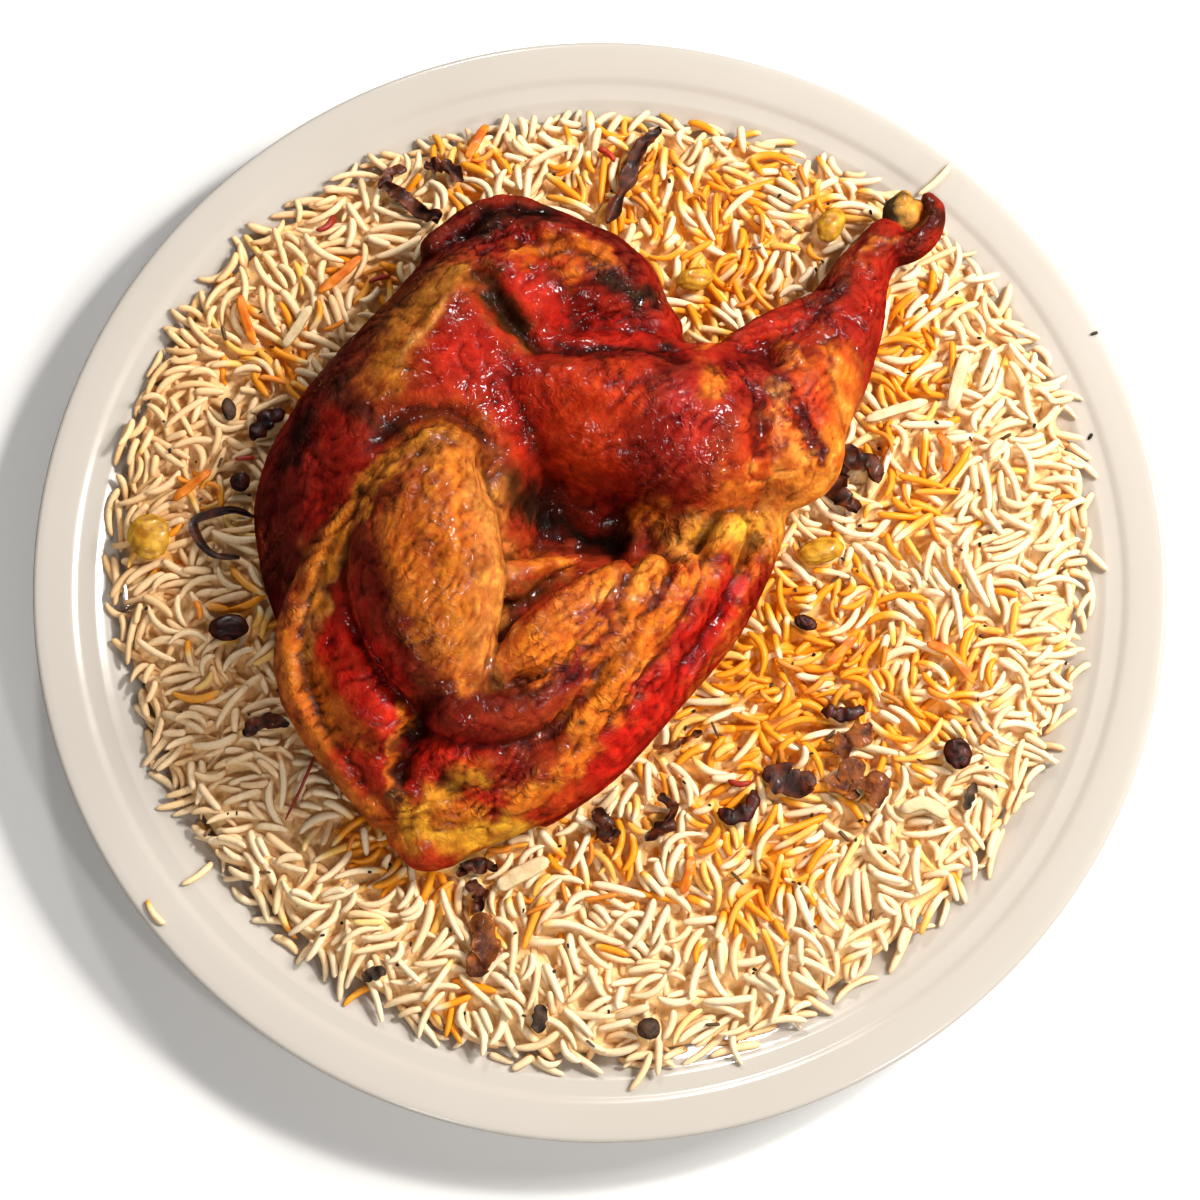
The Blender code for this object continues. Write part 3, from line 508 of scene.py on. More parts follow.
# Narrow raised edges: the line, half the width, the height.
ridges = dict(
    upperLeft=(((-43, 70), (-50, 61), (-58, 49)), 1.8, 1.3),
    slotLip=(((-37, 66), (-28, 57), (-19, 50)), 2.2, 1.4),
    shoulderRim=(((-28, 97), (-12, 93), (1, 85), (12, 71)), 2.0, 1.0),
    wingRidge=(((-44, 18), (-41, -2), (-41, -25), (-43, -44)), 4.0, 1.1),
    webFold=(((-52, 21), (-68, 4), (-80, -18), (-86, -38)), 1.6, 0.9),
    webFoldLow=(((-74, 6), (-83, -16), (-88, -40), (-82, -58)), 1.5, 0.8),
    stripEdge=(((38, -8), (26, -28), (12, -48), (-6, -66)), 1.6, 0.9),
    stripEdgeLow=(((47, -6), (35, -26), (20, -46), (6, -60)), 1.5, 0.8),
    featherEdge=(((-22, -34), (-12, -22), (2, -12)), 1.5, 0.9),
    kneeFoldA=(((44, 50), (52, 42), (56, 32)), 2.0, 1.0),
    kneeFoldB=(((60, 54), (66, 44), (68, 32)), 2.2, 1.0),
    drumFold=(((52, 50), (64, 62), (74, 80)), 2.0, 0.8),
)

# Wrinkles in one direction: the line they lie along, reach to each side, heading in degrees, spacing, depth.
wrinkles = (
    (((-44, 22), (-48, -10), (-45, -40)), 15, 62, 3.4, 0.32),  # wing flat
    (((-22, -36), (-8, -24), (4, -14)), 8, 38, 3.6, 0.5),  # feather
    (((-23, -50), (-2, -36), (14, -12)), 6, 50, 4.4, 0.6),  # inner ridge
    (((-11, -60), (8, -38), (26, -9)), 7, 52, 5.0, 0.7),  # middle ridge
    (((36, 2), (24, -24), (0, -50), (-30, -77)), 7, 50, 4.2, 0.55),  # upper strip
    (((48, 4), (34, -24), (8, -54), (-16, -76)), 7, 128, 5.5, 0.45),  # lower strip
    (((-48, 24), (-74, 2), (-88, -30), (-76, -62)), 5, 20, 5.5, 0.45),  # web
    (((-82, 40), (-92, 10), (-90, -20)), 9, 70, 6.0, 0.5),  # left flank
    (((-30, 96), (-60, 76), (-84, 44)), 7, 130, 4.8, 0.5),  # upper left margin
    (((-28, 88), (-4, 84), (10, 72)), 12, 20, 4.2, 0.55),  # shoulder
    (((-20, 40), (10, 34)), 16, 110, 7.5, 0.35),  # thigh
    (((10, 46), (26, 30), (20, 12)), 13, 60, 4.6, 0.55),  # thigh, right part
    (((40, 44), (56, 34)), 10, 120, 3.2, 0.7),  # knee
    (((54, 44), (70, 66), (80, 86)), 12, 48, 3.4, 0.55),  # drumstick
    (((40, 60), (68, 76)), 6, 10, 3.6, 0.45),  # fold above the knee
    (((86, 95), (97, 99), (101, 109)), 5, 30, 2.6, 0.6),  # cuff
    (((-70, -36), (-58, -56)), 9, 35, 4.8, 0.45),  # breast
    (((-50, -66), (-30, -66)), 8, 80, 4.0, 0.5),  # breast tip
    (((-56, -82), (-26, -74)), 6, 15, 3.8, 0.5),  # tail flap
)

tones = dict(
    deepRed=(0.30, 0.009, 0.004), darkRed=(0.17, 0.005, 0.003), maroon=(0.095, 0.004, 0.003),
    red=(0.43, 0.012, 0.005), brightRed=(0.56, 0.010, 0.005), redOrange=(0.60, 0.040, 0.007),
    rose=(0.46, 0.022, 0.016), orange=(0.74, 0.17, 0.013), golden=(0.88, 0.32, 0.05),
    amber=(0.60, 0.18, 0.016), amberBrown=(0.50, 0.12, 0.011), orangeBrown=(0.60, 0.13, 0.013),
    brown=(0.24, 0.062, 0.011), brownRed=(0.31, 0.035, 0.009), yellowGold=(0.98, 0.42, 0.03),
    tan=(0.74, 0.32, 0.09), oliveAmber=(0.33, 0.115, 0.012), oliveDark=(0.08, 0.042, 0.008),
    char=(0.015, 0.006, 0.004),
)

skinLook = dict(
    wander=((1.6, 9, 31), (0.5, 3.5, 33)),  # how far the strokes' edges wander, over what size, seed
    hollow=2.2, hollowDark=0.68, groove=(0.52, 0.68, 0.68),  # per mm of depth; share of the light lost
    # ridges are lighter: partly glaze worn thin, partly a painted highlight
    ridge=2.0, worn=0.55, ridgeWearAndSheenGain=(1.45, 1.9, 1.4), ridgeWearAndSheenAdd=(0.05, 0.018, 0.006),
    # flecks: partly pale skin, partly painted glints
    paleFleckAndGlint=0.7, blotch=0.35, scorch=1.3,
)

# Colour laid on the skin in order: tone, strength, half width, line.
skinStrokes = (
    ("deepRed", 1.0, 37.7, ((-38, 41), (-49, -7))),  # body base
    ("deepRed", 1.0, 21.8, ((-17, 32), (29, 29))),  # thigh base
    ("deepRed", 1.0, 17.4, ((-30, 88), (6, 69))),  # shoulder base
    ("maroon", 0.9, 7.0, ((-39, 101), (-60, 79), (-77, 54), (-91, 29), (-99, 8))),  # outer rim upper left
    ("oliveAmber", 0.9, 7.5, ((-43, 77), (-56, 63), (-63, 45))),  # amber upper left
    ("amber", 0.7, 3.5, ((-50, 62), (-57, 52), (-60, 44))),  # amber inner
    ("darkRed", 0.8, 9.9, ((-74, 21), (-87, 12), (-95, -6))),  # red left body
    ("maroon", 0.7, 5.8, ((-92, -5), (-90, -23))),  # left flank low
    ("red", 0.75, 10.4, ((-43, 54), (-29, 38), (-23, 26))),  # body red centre
    ("maroon", 0.6, 2.9, ((-12, 51), (12, 51))),  # body dark under hem
    ("redOrange", 0.85, 8.7, ((-7, 42), (0, 29), (-7, 20))),  # thigh glow
    ("redOrange", 0.5, 4.6, ((7, 47), (12, 38))),  # thigh glow right
    ("maroon", 0.45, 5.0, ((-12, 16), (4, 12), (16, 12))),  # thigh lower dark
    ("maroon", 0.6, 7.5, ((14, 30), (17, 15))),  # thigh maroon right
    ("rose", 0.7, 6.4, ((26, 42), (29, 29))),  # crimson patch
    ("red", 0.8, 8.7, ((-18, 73), (0, 64), (15, 61))),  # shoulder red
    ("orange", 0.85, 3.2, ((-24, 85), (-9, 88), (3, 83))),  # shoulder orange crest
    ("orange", 0.6, 3.5, ((-9, 79),)),  # shoulder orange spot
    ("maroon", 0.95, 3.8, ((-39, 97), (-24, 101), (-6, 96), (7, 86), (15, 72))),  # neck rim
    ("darkRed", 0.8, 1.7, ((-12, 96), (6, 86))),  # neck rim red
    ("char", 0.95, 5.2, ((-36, 95), (-30, 101), (-16, 101))),  # char top
    ("char", 1.0, 4.2, ((-1, 78), (13, 73))),  # char shoulder
    ("char", 0.5, 2.6, ((-12, 75), (0, 70))),  # char shoulder low
    ("oliveDark", 0.85, 3.4, ((-33, 77), (-29, 66), (-22, 57))),  # slot
    ("char", 0.75, 1.5, ((-31, 77), (-27, 68), (-22, 60))),  # inside of the slot: painted shade, in the char tone
    ("char", 0.85, 1.7, ((-15, 55), (23, 55))),  # hem char
    ("char", 0.6, 3.5, ((15, 56), (23, 49), (17, 42))),  # hem knot char
    ("char", 1.0, 5.2, ((-25, 13), (-12, 7), (0, 3), (8, 3))),  # valley: painted shadow, in the char tone
    ("brownRed", 0.8, 2.6, ((-20, 0), (-6, -2), (6, -4))),  # valley brown
    ("char", 0.8, 4.1, ((-26, 17), (-16, 14))),  # valley upper end: painted shadow, in the char tone
    ("char", 0.85, 4.9, ((-75, 42), (-69, 33), (-58, 29))),  # left char a
    ("char", 0.8, 2.9, ((-85, 36), (-91, 22))),  # left char b
    ("char", 0.5, 2.9, ((-99, -3), (-97, -15))),  # left char c
    ("amberBrown", 1.0, 12.2, ((-43, 21), (-42, -11), (-41, -40))),  # wing flat base
    ("brownRed", 0.8, 6.0, ((-55, 14), (-58, -6), (-55, -26), (-47, -44))),  # wing flat shaded side
    ("amberBrown", 0.8, 7.0, ((-58, -2), (-53, -28), (-48, -45))),  # wing flat left
    ("brown", 0.75, 5.2, ((-57, 16), (-46, 25), (-34, 22))),  # wing flat top brown
    ("darkRed", 0.8, 5.2, ((-66, 7), (-71, -4))),  # wing flat top red
    ("tan", 0.4, 4.8, ((-34, 12), (-30, -12), (-32, -35), (-30, -43))),  # wing flat pale: its paler right half, partly painted highlight
    ("orangeBrown", 0.6, 4.6, ((-41, 12), (-42, -12))),  # wing flat orange
    ("maroon", 0.9, 4.9, ((-65, -10), (-61, -27), (-54, -42), (-48, -50))),  # wing hollow
    ("char", 0.5, 2.9, ((-58, -27), (-49, -47))),  # wing shade
    ("amber", 0.85, 2.3, ((-46, 28), (-62, 18), (-74, 3), (-80, -12))),  # web
    ("amberBrown", 0.85, 4.6, ((-80, -7), (-84, -25), (-85, -42), (-79, -60))),  # web low
    ("amber", 0.6, 1.7, ((-77, -8), (-80, -25))),  # web light
    ("orangeBrown", 0.8, 4.6, ((-92, -28), (-86, -52), (-72, -72), (-57, -86))),  # flank outer orange
    ("brightRed", 1.0, 8.0, ((-73, -32), (-62, -44), (-57, -58))),  # breast red
    ("orange", 0.8, 4.0, ((-80, -45), (-75, -54), (-68, -60))),  # breast orange
    ("red", 0.8, 4.9, ((-74, -62), (-61, -70))),  # breast low red
    ("oliveDark", 1.0, 2.6, ((-51, -52), (-56, -60), (-58, -73))),  # slit
    ("char", 0.95, 2.2, ((-49, -51), (-54, -60), (-57, -70))),  # inside of the slit: painted shade, in the char tone
    ("orange", 0.8, 0.9, ((-54, -51), (-59, -60), (-61, -72))),  # slit edge
    ("brightRed", 0.9, 6.4, ((-50, -65), (-43, -60), (-37, -66))),  # second red
    ("yellowGold", 0.95, 3.6, ((-53, -79), (-40, -73), (-34, -71))),  # flap yellow
    ("brightRed", 0.95, 4.2, ((-38, -76), (-27, -74))),  # flap red
    ("yellowGold", 1.0, 3.6, ((-54, -84), (-40, -85), (-23, -81))),  # flap low golden
    ("redOrange", 0.55, 4.1, ((-60, -86), (-47, -92))),  # flap tip
    ("darkRed", 0.7, 1.2, ((-53, -81), (-46, -82))),  # flap line
    ("orange", 0.8, 3.2, ((-46, -78), (-37, -80))),  # flap middle
    ("maroon", 0.95, 4.1, ((-48, -51), (-31, -52), (-17, -47), (-10, -43))),  # crook
    ("char", 0.5, 2.0, ((-23, -49), (-11, -46))),  # crook grey
    ("darkRed", 0.8, 4.6, ((-45, -56), (-28, -61), (-20, -67))),  # crook low
    ("brownRed", 0.85, 6.4, ((-20, -59), (-6, -53))),  # lower mid brown
    ("darkRed", 0.7, 4.1, ((-29, -70), (-20, -73))),  # lower mid dark
    ("orangeBrown", 0.9, 3.8, ((-23, -7), (-12, -7))),  # flake
    ("orangeBrown", 1.0, 5.5, ((-21, -38), (-11, -26), (3, -15))),  # feather
    ("brown", 0.8, 1.7, ((-24, -20), (-14, -13), (0, -9))),  # feather edge
    ("tan", 0.6, 1.7, ((-3, -23), (6, -16))),  # feather tip pale
    ("orange", 0.95, 2.0, ((-18, -41), (-10, -36), (0, -28))),  # ridge thin
    ("darkRed", 0.9, 2.3, ((-11, -48), (-3, -38), (3, -26), (10, -10))),  # ridge gap
    ("orange", 0.9, 3.8, ((-6, -57), (3, -39), (11, -19), (16, -7))),  # ridge mid
    ("golden", 0.6, 2.3, ((11, -19), (14, -9))),  # ridge mid top
    ("orange", 0.85, 3.5, ((-23, -76), (-9, -68), (6, -47), (20, -21), (29, -11))),  # ridge outer
    ("brightRed", 1.0, 4.3, ((0, -67), (14, -49), (26, -32), (38, -14))),  # red strip
    ("rose", 0.7, 2.6, ((11, -47), (22, -32), (26, -20))),  # red strip inner
    ("redOrange", 0.8, 2.6, ((-17, -79), (-3, -69))),  # red strip low
    ("orange", 0.3, 1.4, ((45, -5), (38, -27), (26, -44))),  # strip edge
    ("golden", 0.95, 5.8, ((25, 1), (38, 2), (50, 7), (62, 19))),  # lower thigh golden
    ("darkRed", 0.7, 2.0, ((22, 13), (34, 14), (46, 20))),  # lower thigh upper line
    ("redOrange", 0.5, 2.4, ((30, 9), (42, 12))),  # lower thigh glow
    ("yellowGold", 0.75, 3.4, ((28, 3), (38, 4), (46, 6))),  # lower thigh light
    ("orange", 0.9, 2.6, ((29, -4), (53, 1), (68, 23), (74, 39))),  # lower thigh edge
    ("orange", 0.8, 2.6, ((12, 9), (17, 8))),  # lower thigh spot
    ("orangeBrown", 0.9, 6.4, ((40, 14), (58, 20))),  # thigh lower right
    ("golden", 0.8, 4.3, ((51, 32), (58, 26))),  # knee golden
    ("orange", 0.95, 5.5, ((70, 54), (71, 39), (67, 26))),  # knee orange
    ("orangeBrown", 0.8, 4.6, ((61, 51), (56, 57))),  # knee upper
    ("orange", 0.8, 2.3, ((31, 49), (33, 40))),  # knee streak
    ("brownRed", 0.8, 3.5, ((38, 31), (35, 19), (29, 16))),  # knee streak low
    ("darkRed", 0.9, 2.3, ((50, 47), (58, 38), (63, 26))),  # knee crease red
    ("maroon", 0.9, 2.6, ((45, 40), (47, 28))),  # knee crease inner
    ("maroon", 0.8, 2.9, ((39, 58), (47, 53), (58, 58))),  # knee crease top
    ("tan", 0.6, 2.0, ((51, 44), (54, 38))),  # knee pale
    ("red", 0.8, 3.5, ((26, 57), (41, 61), (59, 68))),  # fold red
    ("orange", 0.6, 1.7, ((29, 58), (38, 62))),  # fold orange
    ("deepRed", 0.9, 8.7, ((59, 73), (74, 79), (84, 88))),  # drum red
    ("red", 0.8, 2.6, ((78, 66), (81, 75), (85, 85))),  # drum bright
    ("brownRed", 0.7, 4.1, ((71, 86), (80, 91))),  # drum brown
    ("char", 0.85, 4.4, ((66, 74), (72, 81))),  # drum char
    ("maroon", 0.8, 2.3, ((75, 98), (87, 97))),  # ankle
    ("orangeBrown", 0.7, 1.2, ((81, 95), (90, 98))),  # ankle orange
    ("maroon", 1.0, 2.6, ((92, 96), (98, 101), (98, 109))),  # cuff
    ("char", 0.8, 2.3, ((95, 93),)),  # cuff char
    ("char", 0.6, 2.2, ((100, 100), (102, 106))),  # cuff outer edge
    ("redOrange", 0.6, 6.5, ((42, 22), (58, 34), (64, 48))),  # knee warmth
    ("golden", 0.4, 3.0, ((-33, 12), (-29, -4), (-29, -22), (-31, -38))),  # wing flat gold on the right half, partly painted highlight
    ("amber", 0.7, 2.2, ((-52, 21), (-68, 4), (-80, -18), (-86, -38))),  # web fold
    ("tan", 0.5, 1.3, ((-73, -8), (-79, -22), (-83, -34))),  # web light: pale streak along the web fold, partly painted highlight
    ("maroon", 0.7, 1.3, ((-58, 12), (-70, -4), (-76, -20))),  # web inner line
    ("tan", 0.55, 1.1, ((-43, 70), (-50, 61), (-58, 49))),  # pale ridge: painted highlight along the raised ridge
    ("char", 0.7, 1.4, ((-75, 43), (-68, 55), (-56, 74), (-44, 88))),  # rim crease
    ("brightRed", 0.8, 2.2, ((41, -13), (26, -34), (12, -55), (-3, -69))),  # strip streak
    ("maroon", 0.9, 0.9, ((47, 50), (55, 44), (62, 34), (66, 24))),  # knee lines
    ("maroon", 0.8, 0.8, ((40, 47), (44, 38), (45, 28))),
    ("darkRed", 0.8, 0.9, ((52, 37), (58, 30), (62, 20))),
    ("darkRed", 0.7, 0.9, ((32, 20), (44, 22), (55, 28))),
    ("golden", 0.8, 1.0, ((66, 52), (72, 40), (72, 28), (64, 16))),
    ("golden", 0.7, 0.9, ((43, 17), (54, 20), (62, 27))),
    ("darkRed", 0.8, 1.0, ((56, 62), (64, 54), (70, 44))),
    ("redOrange", 0.7, 1.2, ((60, 66), (68, 62), (74, 56))),
    ("char", 0.75, 2.4, ((101, 103), (102, 108), (99, 111))),  # cuff end
    ("maroon", 0.8, 3.0, ((97, 98), (100, 102))),  # cuff
)


def lobe(rows, steps=14, sides=16):
    # upright ellipses along a smooth line. Past both ends they shrink by the cosine of three growing angles
    line = smoothLine(rows, steps)
    along = np.gradient(line[:, :3], axis=0)
    along[:, 2] = 0
    along /= np.linalg.norm(along, axis=1)[:, None]
    past = np.array((1.35, 0.95, 0.5))
    centre = np.vstack([line[0, :3] - along[0] * line[0, 3] * np.sin(past)[:, None], line[:, :3],
                        line[-1, :3] + along[-1] * line[-1, 3] * np.sin(past[::-1])[:, None]])
    along = np.pad(along, ((3, 3), (0, 0)), mode="edge")
    shrink = np.concatenate([np.cos(past), np.ones(steps), np.cos(past[::-1])])
    wide, high = (np.pad(line[:, k], 3, mode="edge") * shrink for k in (3, 4))
    side = np.c_[-along[:, 1], along[:, 0], np.zeros(len(along))]
    up = np.tile((0.0, 0.0, 1.0), (len(along), 1))
    return tube(centre, side, up, wide, high, sides)


def joinedLobes(name, table):
    return bpy.data.objects.new(name, meshOf(name, *joinArrays([lobe(rows) for rows in table.values()])))


def voxelSkin(piece, voxel, softening):
    change = piece.modifiers.new("voxels", "REMESH")
    change.mode = "VOXEL"
    change.voxel_size = voxel * mm
    soften = piece.modifiers.new("soften", "SMOOTH")
    soften.factor = 0.5
    soften.iterations = softening
    applyModifiers(piece)


def blurOver(mesh, values, steps):  # each point takes the mean of its neighbours, steps times
    ends = np.empty(len(mesh.edges) * 2, np.int32)
    mesh.edges.foreach_get("vertices", ends)
    first, second = ends.reshape(-1, 2).T
    count = len(mesh.vertices)
    near = np.bincount(first, minlength=count) + np.bincount(second, minlength=count)
    for _ in range(steps):
        total = (np.bincount(first, weights=values[second], minlength=count)
                 + np.bincount(second, weights=values[first], minlength=count))
        values = 0.3 * values + 0.7 * total / np.maximum(near, 1)
    return values


def skinRelief(points):
    # how far each point moves along its normal: lumps, raised edges, nets of creases, flaws and wrinkles.
    # It also gives how crinkled the skin is there and how deep in a groove, both from 0 to 1
    x, y = points[:, :2].T
    lumps = (np.sin(x / 5.1 + 1.7 * np.sin(y / 9.0)) * np.sin(y / 6.3 + 1.3 * np.sin(x / 8.0))
             + 0.6 * np.sin(x / 3.1 - y / 3.7))
    relief = chicken["lump"] * lumps
    crackle, grooves = np.full(len(points), chicken["plainCrackle"]), np.zeros(len(points))
    for line, width, height in ridges.values():
        near, share = nearLine(points[:, :2], smoothLine(line, 9))
        fade = np.clip(np.minimum(share, 1 - share) * 5 + 0.1, 0, 1)
        relief += height * fade * np.exp(-(near / width) ** 2) * (0.8 + 0.4 * waves(points, 9, 45))
    for size, width, depth, seed in chicken["creases"]:  # a crease runs wherever the waves cross zero
        level = waves(points, size, seed)
        patchy = np.clip(waves(points, size * 2.5, seed + 20) * 0.8 + 0.7, 0, 1)
        relief -= depth * patchy * np.exp(-(level / width) ** 2)
    size, height, seed = chicken["flaw"]
    relief += height * waves(points, size, seed)
    for number, (line, reach, heading, spacing, depth) in enumerate(wrinkles):
        # height of a wrinkle: 1 - |sin(pi * distance across / spacing)| ^ 0.8, the distance bent by waves
        near, share = nearLine(points[:, :2], smoothLine(line, 9))
        close = near < reach * 2.2
        spot = points[close]
        turn = math.radians(heading)
        across = -spot[:, 0] * math.sin(turn) + spot[:, 1] * math.cos(turn) + 0.5 * spot[:, 2]
        slow, quick = waves(spot, spacing * 4.5, 40 + number), waves(spot, spacing * 1.8, 70 + number)
        across = across + spacing * (0.55 * slow + 0.18 * quick)
        ridge = 1 - np.abs(np.sin(np.pi * across / spacing)) ** 0.8
        strength = np.clip(0.75 + 0.5 * waves(spot, spacing * 3.2, 100 + number), 0, 1.4)
        within = np.exp(-(near[close] / reach) ** 4)
        relief[close] += 1.25 * depth * strength * (0.45 - ridge) * within
        crackle[close] = np.maximum(crackle[close], within * np.clip(depth * 1.6, 0, 1) * strength)
        grooves[close] = np.maximum(grooves[close], ridge**2 * within * np.clip(strength, 0, 1))
    return relief, np.clip(crackle, 0, 1), grooves


def skinColours(points, crackle, grooves, hollow):
    # strokes of colour laid over each other with edges that wander, then painted shade, ridges lighter from
    # worn glaze and a painted highlight, flecks that are partly painted glints, and burns
    spots = points[:, :2].copy()
    for far, size, seed in skinLook["wander"]:
        spots += far * np.c_[waves(points, size, seed), waves(points, size, seed + 1)]
    colours = np.tile(tones["deepRed"], (len(points), 1))
    for name, strength, width, line in skinStrokes:
        near, _ = nearLine(spots, smoothLine(line, 7) if len(line) > 1 else np.array(line, float))
        weight = strength * np.exp(-(near / width) ** 2)
        colours = mixed(colours, np.array(tones[name]), weight[:, None])
    low = np.clip((chicken["below"] - points[:, 2]) / 8, 0, 1)[:, None]
    colours = colours * (1 - chicken["shade"] * low)
    hollowShade = np.clip(hollow * skinLook["hollow"], 0, 1)[:, None]  # painted shade in the hollows
    lighter = np.clip(-hollow * skinLook["ridge"], 0, 1)[:, None]  # ridges lighter: partly glaze worn thin, partly a painted highlight
    # painted shade in the wrinkle grooves
    grooved = grooves[:, None] * np.array(skinLook["groove"])
    colours = colours * (1 - skinLook["hollowDark"] * hollowShade) * (1 - grooved)
    worn = np.array(skinLook["ridgeWearAndSheenGain"]) * colours + np.array(skinLook["ridgeWearAndSheenAdd"])
    colours = mixed(colours, worn, skinLook["worn"] * lighter)
    # pale golden flecks in the crinkled skin: partly its pale colour, partly painted glints
    paleFleckAndGlint = np.clip(waves(points, 2.6, 38) - 0.5, 0, 1)[:, None] * crackle[:, None] * (colours[:, 1:2] > 0.05)
    colours = mixed(colours, np.array(tones["golden"]), skinLook["paleFleckAndGlint"] * paleFleckAndGlint)
    blotch = np.clip(waves(points, 11, 35) * 0.5 + 0.1, 0, 1)[:, None]
    colours = colours * (1 - skinLook["blotch"] * blotch)
    scorch = np.clip(waves(points, 6.5, 36) - 1.6, 0, 0.6)[:, None] * skinLook["scorch"]  # small burnt spots
    return np.clip(chicken["glaze"] * mixed(colours, np.array(tones["char"]), scorch), 0, 1)


def buildChicken():
    bird = joinedLobes("roastChicken", masses)
    small = joinedLobes("smallForms", forms)
    for piece in (bird, small):
        bpy.context.scene.collection.objects.link(piece)
    voxelSkin(bird, chicken["bodyVoxel"], chicken["bodySoftening"])
    both = bmesh.new()
    both.from_mesh(bird.data)
    both.from_mesh(small.data)
    both.to_mesh(bird.data)
    both.free()
    bpy.data.objects.remove(small)
    voxelSkin(bird, chicken["skinVoxel"], chicken["skinSoftening"])
    mesh = bird.data
    points, normals = pointsOf(mesh), normalsOf(mesh)
    drop = np.zeros(len(points))
    for line, width, depth in folds.values():
        near, share = nearLine(points[:, :2], smoothLine(line, 9))
        fade = np.clip(np.minimum(share, 1 - share) * 6 + 0.15, 0, 1)
        drop += depth * fade * np.exp(-(near / width) ** 2)
    points[:, 2] -= drop * np.clip(normals[:, 2] * 1.6 + 0.2, 0, 1)
    movePoints(mesh, points)
    normals = normalsOf(mesh)
    relief, crackle, grooves = skinRelief(points)
    points += normals * (relief * np.clip(normals[:, 2] + 0.45, 0, 1))[:, None]
    points[:, 2] = np.maximum(points[:, 2], chicken["contact"])
    movePoints(mesh, points)
    normals = normalsOf(mesh)
    around = np.stack([blurOver(mesh, points[:, k], chicken["blur"]) for k in range(3)], axis=1)
    hollow = ((around - points) * normals).sum(axis=1)  # more than 0 in a hollow, less on a ridge, in mm
    mesh.polygons.foreach_set("use_smooth", np.ones(len(mesh.polygons), bool))
    paint(mesh, "skinTone", skinColours(points, crackle, grooves, hollow))
    wet = np.clip(normals[:, 2] * 2 - 0.35, 0, 1) * np.clip(0.5 + 0.7 * waves(points, 10, 39), 0.08, 1)
    note(mesh, "crackle", crackle)
    note(mesh, "wet", wet)
    bpy.data.objects.remove(bird)
    place("roastChicken", mesh, skinMaterial(), "chicken", "chicken")
    return points


legBone = dict(at=(92.5, 107.5, 38.5), radius=6.4, ahead=(0.62, 0.78, 0.10), notch=0.26, rings=30, sides=44,
               dark=(0.05, 0.028, 0.012), light=(0.70, 0.33, 0.06), red=(0.72, 0.20, 0.02))


def ballPoints(rings, sides):  # points on a sphere of radius 1 in rings about the x axis, then its two poles
    polar = np.linspace(0, np.pi, rings + 2)[1:-1, None]
    turn = np.linspace(0, 2 * np.pi, sides, endpoint=False)
    unit = np.stack([np.repeat(-np.cos(polar), sides, axis=1), np.sin(polar) * np.cos(turn),
                     np.sin(polar) * np.sin(turn)], axis=2)
    return np.vstack([unit.reshape(-1, 3), (-1, 0, 0), (1, 0, 0)])


def ballMesh(name, points, rings, sides):
    count = rings * sides
    return meshOf(name, points, ringQuads(rings, sides), poleTris(rings, sides, count, count + 1))


def buildBone():  # a ball stretched along the leg, with a groove pressed in its end between two rounded heads
    unit = ballPoints(legBone["rings"], legBone["sides"])
    ahead = np.array(legBone["ahead"]) / np.linalg.norm(legBone["ahead"])
    side = np.cross((0, 0, 1), ahead)
    side /= np.linalg.norm(side)
    up = np.cross(ahead, side)
    groove = np.exp(-(unit[:, 1] / 0.3) ** 2) * np.maximum(unit[:, 0], 0)
    reach = legBone["radius"] * (1 - legBone["notch"] * groove)
    reach = reach * (1 + 0.06 * waves(unit, 0.9, 51) + 0.014 * waves(unit, 0.35, 52))
    stretched = unit * (1.15, 1.0, 0.85) * reach[:, None]
    points = np.array(legBone["at"]) + stretched @ np.stack([ahead, side, up])
    mesh = ballMesh("legBone", points, legBone["rings"], legBone["sides"])
    # darker on the left, paler then red towards the right: partly char and the bone's own colour, partly
    # painted shade away from the lamps and a painted highlight
    rightward = points[:, 0] - legBone["at"][0] + 1.5 * waves(points, 5, 53)
    dark, light, red = (np.array(legBone[key]) for key in ("dark", "light", "red"))
    colours = mixed(dark, light, np.clip(rightward / 5 + 0.75, 0, 1)[:, None])
    colours = mixed(colours, red, np.clip(rightward / 4 - 0.6, 0, 1)[:, None])
    # the groove is darkened: painted shade
    paint(mesh, "skinTone", colours * (1 - 0.6 * groove[:, None]))
    note(mesh, "crackle", np.full(len(points), 0.5))
    note(mesh, "wet", np.full(len(points), 0.35))
    place("legBone", mesh, skinMaterial(), "bone", "leg_bone")
    return points


chickenPoints = buildChicken()
bonePoints = buildBone()
print("chicken ready:", len(chickenPoints), "points")

# Rice

rice = dict(
    radius=146.5, height=27.0, rise=28.0, edgeStep=2.3,  # the outline and the heap's side view
    coreDepth=5.0, coreBelow=1.1, coreBump=0.35, coreInset=3.5, coreEdge=3.0,
    cell=0.7, reach=175.0,  # the height map that the grains settle on
    batches=60, tries=450, headings=6, shortFrom=0.4, short=0.6,  # the last batches are of broken grains
    length=(11, 17), thick=(2.0, 2.65), bend=0.12, leastRoom=1.7, edgeRoom=1.5, above=1.9,
    leftShadowAndDrippings=0.6, stray=0.025,
)

